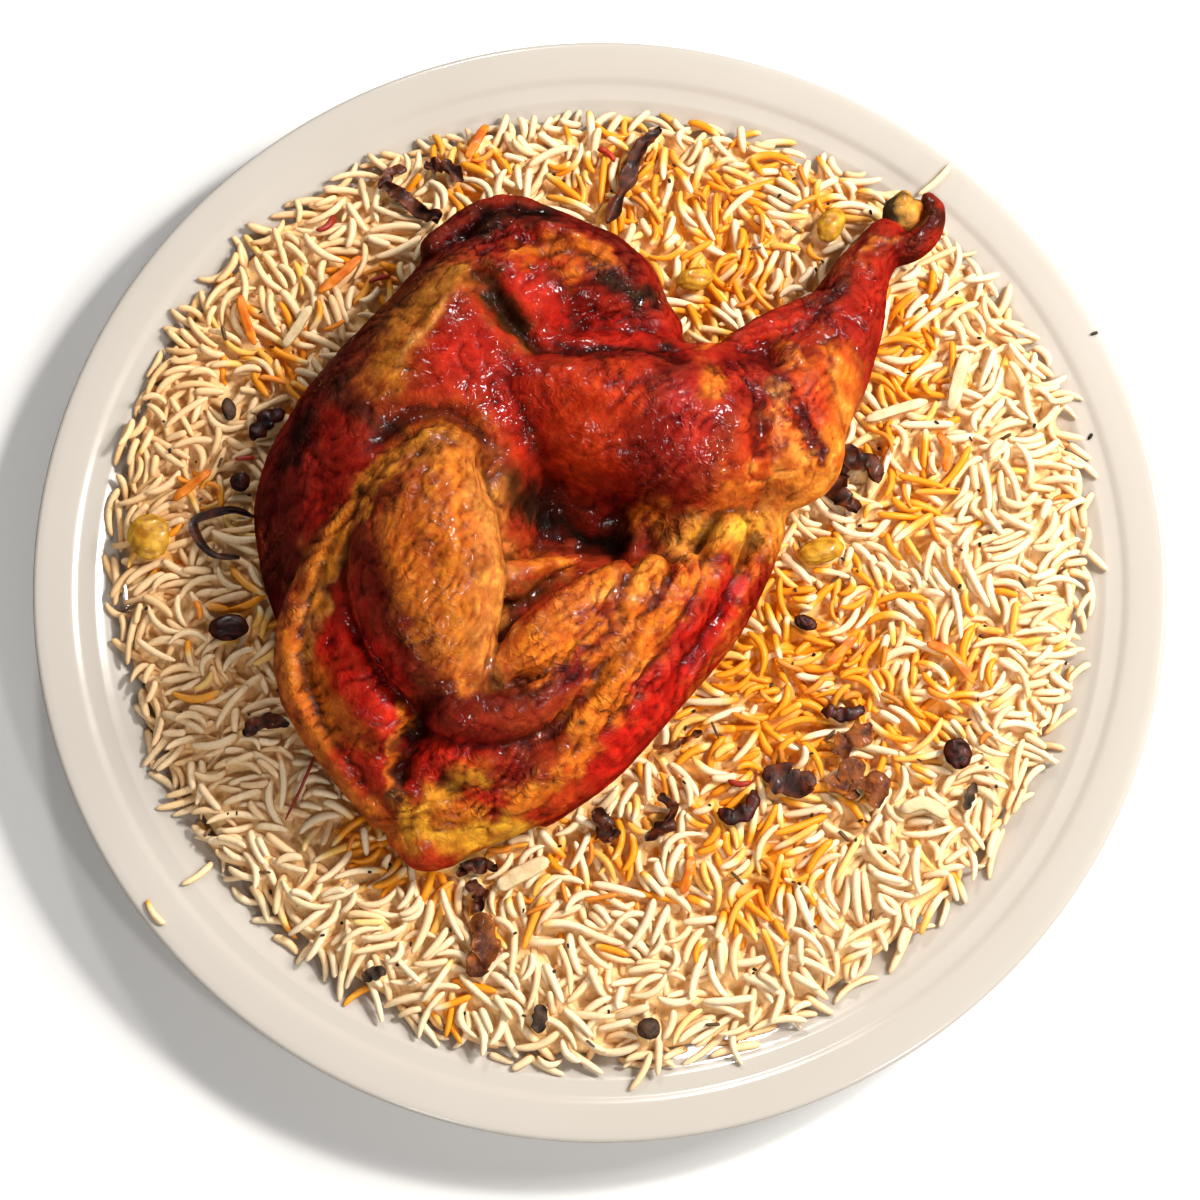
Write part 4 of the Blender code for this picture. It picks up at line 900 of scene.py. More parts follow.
# Where the rice is stained: x, y, radius, share of the grains.
stains = (
    (48, -22, 27, .8), (74, -22, 18, .75), (53, -47, 27, .6), (89, -38, 21, .5), (29, -68, 24, .35),
    (50, -91, 15, .7), (77, -56, 15, .4), (107, -35, 10, .5), (92, 78, 14, .5), (91, 59, 14, .6),
    (93, 21, 14, .6), (82, 37, 9, .5), (6, 123, 19, .6), (28, 114, 18, .6), (43, 100, 18, .6),
    (31, 84, 15, .55), (-40, 123, 12, .6), (50, 133, 15, .3), (74, 120, 11, .5), (-97, 65, 12, .7),
    (-70, 91, 9, .5), (-117, 24, 7, .5), (-132, 4, 7, .5),
    (-69, -83, 12, .7), (-50, -94, 10, .5), (-29, -94, 16, .4), (0, -88, 18, .4), (-41, -129, 7, .4),
    (-104, -22, 12, .35), (-130, -104, 5, 1), (119, -22, 9, .3), (99, -94, 7, .3), (41, -100, 12, .5),
)
# the deep and core tones are darker and warmer than cream: painted shade low in the heap and in the gaps
# between grains
riceTones = dict(
    cream=(1.0, 0.79, 0.51), grey=(0.97, 0.66, 0.345), deep=(0.96, 0.55, 0.21), yellow=(1.0, 0.64, 0.03),
    saffron=(0.96, 0.30, 0.006), core=(0.95, 0.62, 0.27), stainedCore=(0.94, 0.39, 0.02),
)

# Grains that lie alone on the rim: x, y, heading in degrees, length.
looseGrains = (
    (104, 124, 42, 14), (117, 91, 15, 12), (140, 52, 20, 9), (-130, -104, -52, 9), (146, 8, 75, 9),
    (12, -150, 60, 12), (-118, -92, 40, 11), (-143, 42, 70, 10),
)
noLimit = 99.0  # mm: a height that no piece reaches


def riceEdge(angle):
    return rice["radius"] + 3 * np.cos(3 * angle - math.radians(90)) + 2 * np.cos(angle - math.radians(80))


def riceHeight(x, y):  # flat top that falls as a quarter circle near its edge, with low waves
    radius, angle = np.hypot(x, y), np.arctan2(y, x)
    edge = riceEdge(angle)
    low = plateHeight(edge) + rice["edgeStep"]
    inside = np.clip((edge - radius) / rice["rise"], 0, 1)
    swell = 0.8 * np.sin(x / 17 + 0.6) * np.cos(y / 14 - 0.4) + 0.4 * np.sin(x / 8.5 - y / 10)
    return low + (rice["height"] - low) * np.sqrt(1 - (1 - inside) ** 2) + swell * inside


class heightMap:  # highest surface so far, and the lowest thing that hangs above, in square cells
    def __init__(self):
        self.size = int(2 * rice["reach"] / rice["cell"]) + 1
        line = (np.arange(self.size) * rice["cell"]) - rice["reach"]
        self.x, self.y = np.meshgrid(line, line, indexing="ij")
        self.ground = plateHeight(np.hypot(self.x, self.y))
        self.ceiling = np.full(self.ground.shape, noLimit)

    def cells(self, x, y):
        across, along = (np.rint((v + rice["reach"]) / rice["cell"]).astype(int) for v in (x, y))
        return np.clip(across, 0, self.size - 1), np.clip(along, 0, self.size - 1)

    def hang(self, points, spread=1):  # lowers the ceiling to the points, and to their neighbours
        low = np.full(self.ground.shape, noLimit)
        np.minimum.at(low, self.cells(points[:, 0], points[:, 1]), points[:, 2])
        for _ in range(spread):
            wide = low.copy()
            for axis in (0, 1):
                for way in (-1, 1):
                    wide = np.minimum(wide, np.roll(low, way, axis))
            low = wide
        self.ceiling = np.minimum(self.ceiling, low)


surface = heightMap()
surface.hang(chickenPoints)
surface.hang(bonePoints)


def prepareHeap():  # before any grain falls, the map holds the heap, one or two grains lower
    angle, radius = np.arctan2(surface.y, surface.x), np.hypot(surface.x, surface.y)
    heap = riceHeight(surface.x, surface.y) - rice["coreDepth"]
    inside = radius < riceEdge(angle) - rice["coreEdge"]
    surface.ground = np.where(inside, np.maximum(surface.ground, heap), surface.ground)


def blurMap(values, steps):  # each cell takes the mean of itself and its four neighbours
    for _ in range(steps):
        values = (values + np.roll(values, 1, 0) + np.roll(values, -1, 0) + np.roll(values, 1, 1)
                  + np.roll(values, -1, 1)) / 5
    return values


def buildCore():
    # two discs on round grids: the top follows the settled grains, smoothed and a little lower, with bumps
    # the size of grains, and comes up to the chicken where that lies on it. The bottom follows the plate
    rings, low, sides = 150, 12, 420
    turn = np.linspace(0, 2 * np.pi, sides, endpoint=False)
    outline = riceEdge(turn) - rice["coreInset"]
    share = np.concatenate([np.linspace(1 / low, 1, low), np.linspace(1, 1 / rings, rings)])[:, None]
    x, y = share * outline * np.cos(turn), share * outline * np.sin(turn)
    spot = surface.cells(x, y)
    flat = np.c_[x.ravel(), y.ravel()]
    bump = rice["coreBump"] * (waves(flat, 5, 61) + 0.7 * waves(flat, 2.6, 62)).reshape(x.shape)
    top = blurMap(surface.ground, 9)[spot] - rice["coreBelow"] + bump
    held = np.clip(blurMap((surface.ceiling < 33).astype(float), 6)[spot] * 2 - 1, 0, 1)
    top = top * (1 - held) + (chicken["contact"] - 0.5) * held
    bottom = plateHeight(np.hypot(x, y)) + 0.1
    height = np.where(np.arange(len(share))[:, None] < low, bottom, np.maximum(top, bottom + 0.4))
    points = np.stack([x, y, height], axis=2)
    points = np.vstack([points.reshape(-1, 3), (0, 0, bottom[0].mean()), (0, 0, height[-1].mean())])
    count = (rings + low) * sides
    mesh = meshOf("riceCore", points, ringQuads(rings + low, sides)[:, ::-1],
                  poleTris(rings + low, sides, count, count + 1)[:, ::-1])
    spread = waves(points[:, :2], 9, 63)
    dyed = np.zeros(len(points))
    for sx, sy, radius, share in stains:
        near = np.hypot(points[:, 0] - sx, points[:, 1] - sy) / radius
        dyed = np.maximum(dyed, np.clip(1.5 * share * (1.2 + spread * 0.25 - near), 0, 1))
    # the core's tone is darker and warmer than the grains: painted shade in the gaps
    plain, stained = np.array(riceTones["core"]), np.array(riceTones["stainedCore"])
    paint(mesh, "grainTone", mixed(plain, stained, dyed[:, None]))
    place("riceCore", mesh, grainMaterial("riceShade"), "rice", "rice")


def settle(x, y, headings, length, radius, bend, allowed, sink=0.3, steps=19):
    # a thin piece falls flat in each of several directions and keeps the one in which it lies lowest. It
    # rests on the highest support on either side of its middle, tilts between them, and droops a little at
    # both ends. It is refused if its top would stand above what is allowed or reach what hangs above
    headings = np.atleast_1d(headings)
    reach = np.linspace(-1, 1, steps)
    along = reach * length / 2
    aside = bend * (reach**2 - 0.33)
    across = np.array((-0.75, 0.0, 0.75))
    cos, sin = np.cos(headings)[:, None, None], np.sin(headings)[:, None, None]
    off = aside[:, None] + across * radius
    spot = surface.cells(x + along[:, None] * cos - off * sin, y + along[:, None] * sin + off * cos)
    half = radius * np.sqrt(1 - across**2)
    ground = surface.ground[spot]
    need = (ground + half).max(axis=2) - sink * radius
    middle = steps // 2
    each = np.arange(len(headings))
    left, right = np.argmax(need[:, :middle], axis=1), middle + np.argmax(need[:, middle:], axis=1)
    slope = (need[each, right] - need[each, left]) / np.maximum(along[right] - along[left], 1.0)
    slope = np.clip(slope, -0.5, 0.5)
    line = slope[:, None] * along
    base = (need - line).max(axis=1)
    pick = int(np.argmin(base))
    need, slope, height = need[pick], float(slope[pick]), base[pick] + line[pick]
    droop = float(np.clip(min(height[0] - need[0], height[-1] - need[-1]) * 0.8, 0, 0.09 * length))
    height = height - droop * reach**2
    lift = float((need - height).max())
    height, spot = height + lift, (spot[0][pick], spot[1][pick])
    if (height + radius).max() > allowed or ((height + radius)[:, None] > surface.ceiling[spot] - 0.1).any():
        return None
    surface.ground[spot] = np.maximum(ground[pick], height[:, None] + half - sink * radius * 0.5)
    return x, y, height[middle], float(headings[pick]), slope, length, radius, bend, droop


def grainMesh(name, grains, colours, sides=8):
    # one row for each grain: x, y, z, heading, slope, length, radius, bend, droop. Radius along a grain is
    # radius * (1 - |t|^6)^0.5, a little thinner at one end, and its middle line is a parabola both ways
    share = np.array((-0.99, -0.95, -0.85, -0.6, -0.3, 0.0, 0.3, 0.6, 0.85, 0.95, 0.99))
    rings = len(share)
    turn = np.linspace(0, 2 * np.pi, sides, endpoint=False)
    x, y, z, heading, slope, length, radius, bend, droop = (grains[:, k, None] for k in range(9))
    blunt = (1 - np.abs(share) ** 6) ** 0.5 * (1 + 0.12 * share)
    ends = np.concatenate([share, (-1.0, 1.0)])
    along = ends * length / 2
    aside = bend * (ends**2 - 0.33)
    middle = np.stack([x + along * np.cos(heading) - aside * np.sin(heading),
                       y + along * np.sin(heading) + aside * np.cos(heading),
                       z + slope * along - droop * ends**2], axis=2)
    side = np.stack([-np.sin(heading), np.cos(heading), 0 * heading], axis=2)
    up = np.array((0.0, 0.0, 1.0))
    thick = (radius * blunt)[:, :, None, None]
    ring = (middle[:, :rings, None, :] + thick * (np.cos(turn)[:, None] * side[:, :, None, :]
                                                  + np.sin(turn)[:, None] * up))
    points = np.concatenate([ring.reshape(len(grains), -1, 3), middle[:, rings:]], axis=1)
    each = points.shape[1]
    start = (np.arange(len(grains)) * each)[:, None, None]
    quads = (ringQuads(rings, sides)[None] + start).reshape(-1, 4)
    tris = (poleTris(rings, sides, each - 2, each - 1)[None] + start).reshape(-1, 3)
    mesh = meshOf(name, points.reshape(-1, 3), quads, tris)
    reach = np.concatenate([np.repeat(share, sides), (-1.0, 1.0)])
    paint(mesh, "grainTone", colours(reach, points).reshape(-1, 3))
    return mesh


def scatterGrains():
    rng = np.random.default_rng(21)
    angle, radius = np.arctan2(surface.y, surface.x), np.hypot(surface.x, surface.y)
    inside = radius < riceEdge(angle) + rice["edgeRoom"]
    top = riceHeight(surface.x, surface.y) + rice["above"]
    rows = []
    for batch in range(rice["batches"]):  # each batch falls where the most room is left
        room = np.where(inside, np.minimum(top, surface.ceiling) - surface.ground, 0)
        chance = np.clip(room - rice["leastRoom"], 0, 2.0).ravel()
        spots = rng.choice(chance.size, rice["tries"], p=chance / chance.sum())
        for x, y in np.c_[surface.x.ravel()[spots], surface.y.ravel()[spots]]:
            headings = rng.uniform(0, math.pi, rice["headings"])
            length, thick = rng.uniform(*rice["length"]), rng.uniform(*rice["thick"]) / 2
            if batch > rice["shortFrom"] * rice["batches"]:  # broken grains fill the gaps
                length *= rice["short"]
            bend = rng.normal(0, rice["bend"]) * length
            loose = 1.6 * rng.uniform() ** 3 if math.hypot(x, y) < rice["radius"] - 10 else 0.0
            allowed = float(riceHeight(x, y)) + rice["above"] + loose
            found = settle(x, y, headings, length, thick, bend, allowed)
            if found:
                rows.append(found)
    for x, y, heading, length in looseGrains:
        rows.append(settle(x, y, math.radians(heading), length, 1.05, 0.8, noLimit))
    print("grains:", len(rows))
    return np.array(rows)


def buildGrains():
    grains = scatterGrains()
    rng = np.random.default_rng(22)
    stained = np.zeros(len(grains))
    for x, y, radius, share in stains:
        near = np.hypot(grains[:, 0] - x, grains[:, 1] - y) / radius
        hit = rng.uniform(size=len(grains)) < 1.35 * share * np.clip(1.6 - near, 0, 1)
        stained = np.where(hit, np.maximum(stained, rng.uniform(0.5, 1.0, len(grains))), stained)
    stray = rng.uniform(size=len(grains)) < rice["stray"]
    stained = np.where(stray, np.maximum(stained, rng.uniform(0.2, 0.8, len(grains))), stained)
    cream, grey, deep, yellow, saffron = (
        np.array(riceTones[key]) for key in ("cream", "grey", "deep", "yellow", "saffron"))
    order = np.argsort(np.arctan2(grains[:, 1], grains[:, 0]))
    white, tinted = order[stained[order] == 0], order[stained[order] > 0]
    groups = [("riceWhite%d" % k, part) for k, part in enumerate(np.array_split(white, 4))]
    groups += [("riceSaffron%d" % k, part) for k, part in enumerate(np.array_split(tinted, 2))]
    material = grainMaterial("boiledRice")
    for name, chosen in groups:
        dull = rng.uniform(0, 1, (len(chosen), 1, 1)) ** 2
        bright = rng.uniform(0.93, 1.05, (len(chosen), 1, 1))
        dye = stained[chosen][:, None, None]
        start = rng.uniform(-2.2, 0.5, (len(chosen), 1, 1))
        way = rng.choice((-1.0, 1.0), (len(chosen), 1, 1))

        def colours(reach, points):
            depth = (riceHeight(points[..., 0], points[..., 1]) + 0.8 - points[..., 2])[..., None] / 4.5
            plain = mixed(cream, grey, dull) * bright
            # grains low in the heap take the deep tone: painted shade between the grains
            plain = mixed(plain, deep, np.clip(depth, 0, 1))
            leftward = 0.35 * points[..., 1:2] - points[..., :1]
            leftShadowAndDrippings = np.clip((leftward - 75) / 75, 0, 1) * rice["leftShadowAndDrippings"]  # painted shadow of the chicken, and its drippings, darken the far left
            plain = mixed(plain, deep, leftShadowAndDrippings)
            reached = np.clip((reach[None, :, None] * way - start) * 1.6, 0, 1) if dye.any() else 0
            amount = np.clip(reached * dye * 1.4, 0, 1)
            dyed = mixed(yellow, saffron, np.clip((amount - 0.5) * 1.8, 0, 1))
            return mixed(plain, dyed, amount) + 0 * points

        place(name, grainMesh(name, grains[chosen], colours), material, "rice", "rice")


# What lies on the rice

# Long pieces: the line, width, thickness, how crinkled, what it is.
strips = dict(
    onionNorth=(((19, 140), (14, 135), (10, 127), (7, 118), (2, 108)), 5, 4.4, 0.3, "onion"),
    onionNorthwestA=(((-66, 121), (-61, 116), (-54, 111), (-49, 108)), 5, 4, 0.3, "onion"),
    onionNorthwestB=(((-54, 127), (-48, 126), (-42, 122)), 4.5, 4, 0.3, "onion"),
    onionNorthwestC=(((-68, 120), (-65, 125), (-60, 127)), 3.4, 3, 0.2, "onion"),
    onionEastA=(((72, 37), (76, 33), (81, 31), (85, 26)), 7, 4.6, 0.3, "onion"),
    onionEastB=(((73, 31), (70, 26), (71, 20), (76, 16)), 6.5, 4.2, 0.3, "onion"),
    onionSouthA=(((-1, -74), (2, -79), (5, -83)), 6, 4, 0.3, "onion"),
    onionSouthB=(((13, -83), (18, -80), (21, -75), (17, -70)), 5, 4, 0.3, "onion"),
    onionTailA=(((-42, -93), (-37, -90), (-30, -91)), 4.5, 3.6, 0.3, "onion"),
    onionTailB=(((-38, -95), (-34, -99), (-36, -104)), 4.5, 3.6, 0.3, "onion"),
    onionTailAmber=(((-36, -106), (-32, -112), (-33, -118), (-37, -122)), 8, 3, 0.25, "onion"),
    onionFlakeDark=(((48, -63), (55, -66), (63, -67)), 9, 2.8, 0.25, "onion"),
    onionFlakeAmber=(((68, -67), (76, -64), (84, -70)), 9, 2.8, 0.25, "onion"),
    onionFlakeTop=(((68, -58), (74, -55), (80, -50)), 6.5, 2.6, 0.25, "onion"),
    onionRingWest=(
        ((-104, 15), (-110, 17), (-117, 16), (-122, 13), (-120, 7), (-115, 3), (-108, 2)), 2.8, 2.4, 0.15,
        "onion",
    ),
    onionSoutheast=(((17, -57), (23, -54), (30, -51)), 3, 2.6, 0.2, "onion"),
    onionSouthwest=(((-105, -51), (-99, -48), (-92, -49)), 4.5, 3.4, 0.3, "onion"),
    raisinCurlSouth=(((46, -69), (44, -75), (39, -77), (35, -75)), 4.6, 3.8, 0.2, "raisin"),
    raisinCurlEast=(((65, -44), (71, -46), (78, -44)), 4.2, 3.6, 0.2, "raisin"),
    raisinLongWest=(((-105, 39), (-101, 44), (-96, 48)), 5.5, 4.6, 0.2, "raisin"),
    almondEast=(((106, 48), (108, 56), (111, 67)), 4.2, 1.8, 0.05, "almond"),
    almondWest=(((-96, 68), (-92, 74), (-88, 81)), 3.2, 1.7, 0.05, "almond"),
    almondSouth=(((-30, -97), (-23, -93), (-15, -89)), 5, 1.8, 0.05, "almond"),
    almondKnee=(((80, 45), (89, 48), (99, 51)), 3.2, 1.7, 0.05, "almond"),
    almondSoutheast=(((88, -74), (95, -72), (102, -76)), 4.2, 2.4, 0.05, "almond"),
    barkSouth=(((-17, -131), (-18, -139)), 4.2, 2.2, 0.15, "spice"),
    barkSouthwest=(((-69, -123), (-62, -121)), 3.8, 2.4, 0.15, "spice"),
    barkSoutheast=(((110, -66), (107, -74)), 2.8, 2.0, 0.1, "spice"),
    carrotWestA=(((-110, 85), (-108, 77), (-105, 69)), 3, 1.8, 0.08, "carrot"),
    carrotWestB=(((-86, 85), (-80, 90), (-73, 97)), 3, 1.8, 0.08, "carrot"),
    carrotWestD=(((-128, 20), (-123, 24), (-117, 29)), 3, 1.8, 0.08, "carrot"),
    carrotNorthB=(((-41, 129), (-38, 135), (-35, 142)), 3, 1.8, 0.08, "carrot"),
    carrotEastB=(((102, 41), (105, 36), (104, 29)), 3, 1.8, 0.08, "carrot"),
    carrotEastC=(((97, -24), (104, -27), (111, -36)), 3, 1.8, 0.08, "carrot"),
    carrotSouth=(((27, -88), (26, -93), (24, -99)), 3, 1.8, 0.08, "carrot"),
    carrotSoutheast=(((67, -31), (71, -27), (76, -22)), 3, 1.8, 0.08, "carrot"),
)

# Round pieces: x, y, length, width, height, which way it points in degrees, what it is.
berries = dict(
    raisinWest=(-110, -20, 12, 8, 6, 5, "raisin"),
    raisinSoutheast=(105, -58, 8, 10, 6, 10, "raisin"),
    raisinFarWest=(-108, 25, 6, 6, 5, 0, "raisin"),
    raisinEast=(61, -18, 7, 4.5, 4.5, -20, "raisin"),
    cloveWest=(-112, 48, 4.4, 7, 4.2, 12, "spice"),
    peppercornSouth=(14, -138, 7, 6.5, 5, 0, "spice"),
    goldenRaisinNorth=(29, 89, 11, 7.5, 6, 10, "goldenRaisin"),
    goldenRaisinNortheast=(71, 107, 8, 12, 6, -25, "goldenRaisin"),
    goldenRaisinWest=(-135, 8, 12.5, 14.5, 6, 10, "goldenRaisin"),
    goldenRaisinEast=(66, 4, 13.5, 8, 6, 15, "goldenRaisin"),
)

# How each kind is cut: wall as a share of the thickness, curl of the cross-section, twist, rings, sides, dark
# and light tone, roughness, moist coat.
kinds = dict(
    onion=dict(wall=0.34, curl=0.50, twist=0.75, rings=34, sides=16, dark=(0.014, 0.005, 0.003),
               light=(0.15, 0.030, 0.008), roughness=0.46, coat=0.10),
    raisin=dict(wall=0.85, curl=0.12, twist=0.4, rings=30, sides=18, dark=(0.013, 0.004, 0.003),
                light=(0.10, 0.016, 0.008), roughness=0.42, coat=0.12),
    almond=dict(wall=1.0, curl=0.0, twist=0.15, rings=20, sides=16, dark=(0.56, 0.36, 0.15),
                light=(0.82, 0.66, 0.40), roughness=0.42, coat=0.15),
    spice=dict(wall=0.55, curl=0.35, twist=0.2, rings=22, sides=16, dark=(0.02, 0.011, 0.007),
               light=(0.12, 0.055, 0.025), roughness=0.6, coat=0.05),
    carrot=dict(wall=0.8, curl=0.08, twist=0.5, rings=24, sides=10, dark=(0.66, 0.13, 0.006),
                light=(0.88, 0.29, 0.016), roughness=0.34, coat=0.15),
    goldenRaisin=dict(dark=(0.38, 0.15, 0.010), light=(0.80, 0.44, 0.035), roughness=0.28, coat=0.3),
    amberOnion=dict(dark=(0.06, 0.010, 0.003), light=(0.40, 0.105, 0.010), roughness=0.46, coat=0.16),
)
translucent = ("goldenRaisin", "almond", "carrot")
squarish = ("almond", "carrot", "spice")
amberOnions = ("onionTailAmber", "onionFlakeAmber", "onionFlakeTop", "onionSoutheast")
toppingMaterials = {}


def toppingMaterial(kind):  # dark to light by the painted shade and fine noise, wrinkled by bump
    if kind not in toppingMaterials:
        cut, amber = kinds[kind], kind == "amberOnion"
        made, nodes, links, shader, where = newMaterial(
            kind + "Finish", cut["roughness"], Coat_Weight=cut["coat"], Coat_Roughness=0.12,
            Subsurface_Weight=0.25 if kind in translucent else 0.0, Subsurface_Scale=0.002)
        shader.inputs["Subsurface Radius"].default_value = (1.0, 0.5, 0.2)
        speck = noiseRange(nodes, links, where, 700, 4, (0.3, 0.7), (-0.25, 0.25), 0.65)
        total = addMath(nodes, links, "ADD", readAttribute(nodes, "shade", "Fac"), speck)
        links.new(addMix(nodes, links, total, cut["dark"], cut["light"]), shader.inputs["Base Color"])
        span = (cut["roughness"] - 0.12, cut["roughness"] + 0.14)
        links.new(noiseRange(nodes, links, where, 900, 3, (0.3, 0.7), span), shader.inputs["Roughness"])
        wrinkled = addNoise(nodes, links, where, 800, 5, 0.65, 0.8)
        strength, depth = (0.8, 0.6) if amber else (0.5, 0.4)
        links.new(addBump(nodes, links, wrinkled, strength, depth), shader.inputs["Normal"])
        toppingMaterials[kind] = made
    return toppingMaterials[kind]


def cadName(name):  # onionNorth is the CAD node onion_north, and goldenRaisin the slot golden_raisin
    return "".join("_" + letter.lower() if letter.isupper() else letter for letter in name)


def toNode(points, name):  # moves a piece to its CAD node: middles in plan, and the lowest points level
    low, high = (np.array(corner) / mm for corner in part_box(cadName(name)))
    shift = (low + high) / 2 - (points.min(axis=0) + points.max(axis=0)) / 2
    shift[2] = low[2] - points[:, 2].min()
    return points + shift


def buildStrip(name, line, width, thick, crinkle, kind, seed):
    # an ellipse bent into a crescent, carried along the line, rolled about it by a slow wave, with crinkled
    # edges. Its half width along the line is that of the middle * (1 - |2t - 1| ^ 2.5b) ^ 0.5
    cut = kinds[kind]
    draw = np.random.default_rng(seed)
    rings, sides = cut["rings"], cut["sides"]
    flat = smoothLine(line, rings)
    run = np.linspace(0, 1, rings)
    share = run[:, None]
    flat += crinkle * width * 0.22 * np.c_[waves(share, 0.45, seed + 1), waves(share, 0.45, seed + 2)]
    along = np.gradient(flat, axis=0)
    along /= np.linalg.norm(along, axis=1)[:, None]
    blunt = 2.2 if kind in squarish else 1.6
    taper = (1 - np.abs(2 * run - 1) ** (blunt * 2.5)) ** 0.5
    taper = np.clip(taper, 0.25 if kind != "raisin" else 0.4, 1)
    wide = width / 2 * taper * (1 + crinkle * 0.9 * waves(share, 0.35, seed + 3))
    turn = np.linspace(0, 2 * np.pi, sides, endpoint=False)
    u, v = np.cos(turn), np.sin(turn)
    if kind in squarish:
        u, v = (np.sign(w) * np.abs(w) ** 0.6 for w in (u, v))
    wall = thick / 2 * cut["wall"] * (0.35 + 0.65 * taper)
    curl = thick * cut["curl"] * (0.7 + 0.6 * waves(share, 0.6, seed + 4))
    out = wide[:, None] * u
    rise = wall[:, None] * v + curl[:, None] * (u**2 - 0.5)
    edge = np.abs(u) ** 3
    rise = rise + crinkle * thick * 0.35 * edge * waves(share, 0.16, seed + 5)[:, None]
    roll = cut["twist"] * (0.6 * waves(share, 0.8, seed + 6) + draw.uniform(-0.4, 0.4))
    cos, sin = np.cos(roll)[:, None], np.sin(roll)[:, None]
    out, rise = out * cos - rise * sin, out * sin + rise * cos
    rise = rise - rise.min(axis=1)[:, None]
    rise += np.clip(crinkle * thick * 0.6 * (waves(share, 0.5, seed + 7) + 0.4), 0, None)[:, None]
    base = riceHeight(flat[:, 0], flat[:, 1])
    side = np.c_[-along[:, 1], along[:, 0]]
    spot = flat[:, None, :] + out[..., None] * side[:, None, :]
    points = np.dstack([spot, (base - base.mean())[:, None] + rise]).reshape(-1, 3)
    points += 0.05 * width * crinkle * np.c_[waves(points, 2.2, seed + 8), waves(points, 2.2, seed + 9),
                                             waves(points, 2.2, seed + 10)]
    ringed = points.reshape(rings, sides, 3)
    points = np.vstack([points, ringed[0].mean(axis=0), ringed[-1].mean(axis=0)])
    points = toNode(points, name)
    mesh = ballMesh(name, points, rings, sides)
    shade = 0.35 + 0.35 * waves(points, 4.5, seed + 11) + 0.25 * np.append(np.tile(edge, rings), (0.5, 0.5))
    if kind == "almond":
        shade = 0.75 + 0.2 * waves(points, 5, seed + 11) - 0.5 * np.append(np.tile(edge > 0.7, rings), (0, 0))
    note(mesh, "shade", np.clip(shade, 0, 1))
    finish = toppingMaterial("amberOnion" if name in amberOnions else kind)
    place(name, mesh, finish, cadName(kind), cadName(name))
    surface.hang(points)


def buildBerry(name, x, y, length, width, height, pointsTo, kind, seed, rings=26, sides=40):
    # a ball with its radius folded in along meridians that wander, deepest round the waist. The dark ones
    # have nine folds and the golden ones seven, and whole spice has a net of creases instead
    unit = ballPoints(rings, sides)
    around = np.arctan2(unit[:, 2], unit[:, 1]) + 0.5 * waves(unit, 2.2, seed + 1)
    waist = 1 - unit[:, 0] ** 2
    halfFolds, deep = (3.5, 0.10) if kind == "goldenRaisin" else (4.5, 0.2)
    fold = (1 - np.abs(np.sin(around * halfFolds))) * waist * deep
    if kind == "spice":
        fold = 0.06 * np.exp(-(waves(unit, 0.9, seed + 2) / 0.25) ** 2)
    reach = 1 - fold + 0.05 * waves(unit, 1.6, seed + 3) + 0.02 * waves(unit, 0.5, seed + 4)
    body = unit * reach[:, None] * (length / 2, width / 2, height / 2)
    turn = math.radians(pointsTo)
    points = np.c_[x + body[:, 0] * math.cos(turn) - body[:, 1] * math.sin(turn),
                   y + body[:, 0] * math.sin(turn) + body[:, 1] * math.cos(turn), body[:, 2]]
    points = toNode(points, name)
    mesh = ballMesh(name, points, rings, sides)
    shade = 0.55 + 0.3 * waves(points, 4, seed + 5) - fold * 3
    note(mesh, "shade", np.clip(shade, 0, 1))
    place(name, mesh, toppingMaterial(kind), cadName(kind), cadName(name))
    surface.hang(points)


for number, (name, row) in enumerate(strips.items()):
    buildStrip(name, *row, 300 + 20 * number)
for number, (name, row) in enumerate(berries.items()):
    buildBerry(name, *row, 1300 + 20 * number)
print("toppings ready")

prepareHeap()
buildGrains()
buildCore()
print("rice ready")

# Shreds and bits of carrot and pepper that lie loose among the grains: x, y, and r for the red ones.
shreds = (
    (-119, -13), (-39, 138), (62, 124), (41, 90), (100, 11), (87, -41), (50, -92), (-3, -86), (94, -75, "r"),
    (-41, -94, "r"), (2, 131, "r"), (-83, 107, "r"), (-107, 32, "r"), (15, 130), (26, -92), (139, 21),
    (-69, 92), (-67, 89, "r"), (-91, 70), (-100, 58), (-81, 73), (-37, 130), (40, 94), (46, 84), (85, 39),
    (92, 21), (86, 84), (93, 78), (77, -26), (83, -29), (71, -17), (64, -38), (56, -29), (49, -41),
    (74, -41), (98, -27), (107, -30), (40, -65, "r"), (43, -47), (53, -59), (0, -102), (26, -89),
    (-29, -86), (-12, -100), (-17, -103), (-73, -85), (-60, -84), (6, 123), (12, 116), (31, 116),
    (51, 105), (62, 116), (-135, 7), (-132, 2), (-117, 24), (-125, 25), (114, -54), (101, -41),
)
shredTries = 14  # places tried for each shred
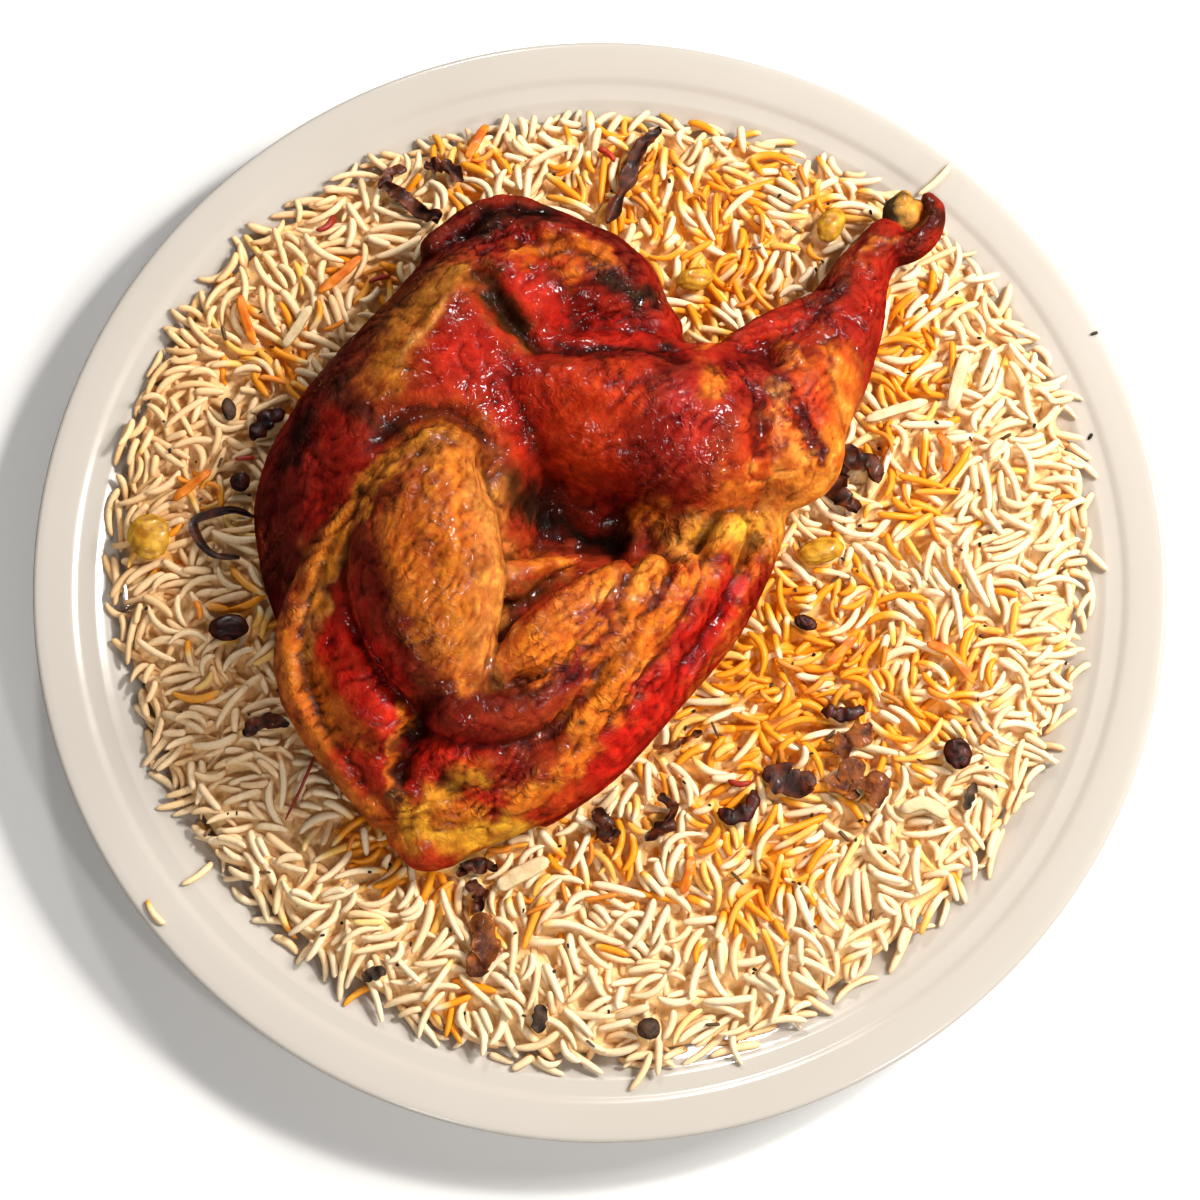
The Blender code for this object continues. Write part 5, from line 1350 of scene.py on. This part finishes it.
rimSpecks = ((151, 74, 0.3), (149, 42, 1.0))  # x, y, heading
# Name: what it is made of, share by which its tone varies.
bitTones = dict(
    carrotBits=((0.80, 0.25, 0.02), 0.25), pepperBits=((0.42, 0.03, 0.01), 0.3),
    pepperFlecks=((0.03, 0.016, 0.01), 0.5), cuminSeeds=((0.14, 0.07, 0.025), 0.4),
)


def buildBits():
    rng = np.random.default_rng(31)
    orange, red, flecks, seeds = [], [], [], []
    for row in shreds:
        for _ in range(shredTries):
            x, y = row[0] + rng.normal(0, 0.8), row[1] + rng.normal(0, 0.8)
            heading = rng.uniform(0, math.pi)
            length, radius, bend = rng.uniform(5, 10), rng.uniform(0.7, 1.15), rng.normal(0, 0.9)
            found = settle(x, y, heading, length, radius, bend, float(riceHeight(x, y)) + 4.5)
            if found:
                (red if len(row) == 3 else orange).append(found)
                break
    red.append(settle(-87.5, -67.5, math.radians(65), 21, 0.45, 0.6, noLimit))  # a thin stem
    flecks += [settle(x, y, heading, 2.2, 0.5, 0.0, noLimit) for x, y, heading in rimSpecks]
    for group, count, longest, thick in ((flecks, 150, 1.5, 0.45), (seeds, 26, 5.0, 0.6)):
        for _ in range(count * 3):
            angle, radius = rng.uniform(0, 2 * math.pi), math.sqrt(rng.uniform()) * 142
            x, y, heading = radius * math.cos(angle), radius * math.sin(angle), rng.uniform(0, math.pi)
            length, size = longest * rng.uniform(0.6, 1.1), thick * rng.uniform(0.6, 1.1)
            found = settle(x, y, heading, length, size, 0.0, float(riceHeight(x, y)) + 3.5, 0.1, 7)
            if found and len(group) < count:
                group.append(found)

    def even(tone, spread):
        def colours(reach, points):
            shift = rng.uniform(-spread, spread, (len(points), 1, 1))
            return np.array(tone) * (1 + shift) + 0 * points
        return colours

    moist = grainMaterial("moistShred")
    for (name, (tone, spread)), rows in zip(bitTones.items(), (orange, red, flecks, seeds)):
        place(name, grainMesh(name, np.array(rows), even(tone, spread)), moist, "rice", "rice")
        print(name, len(rows))


buildBits()
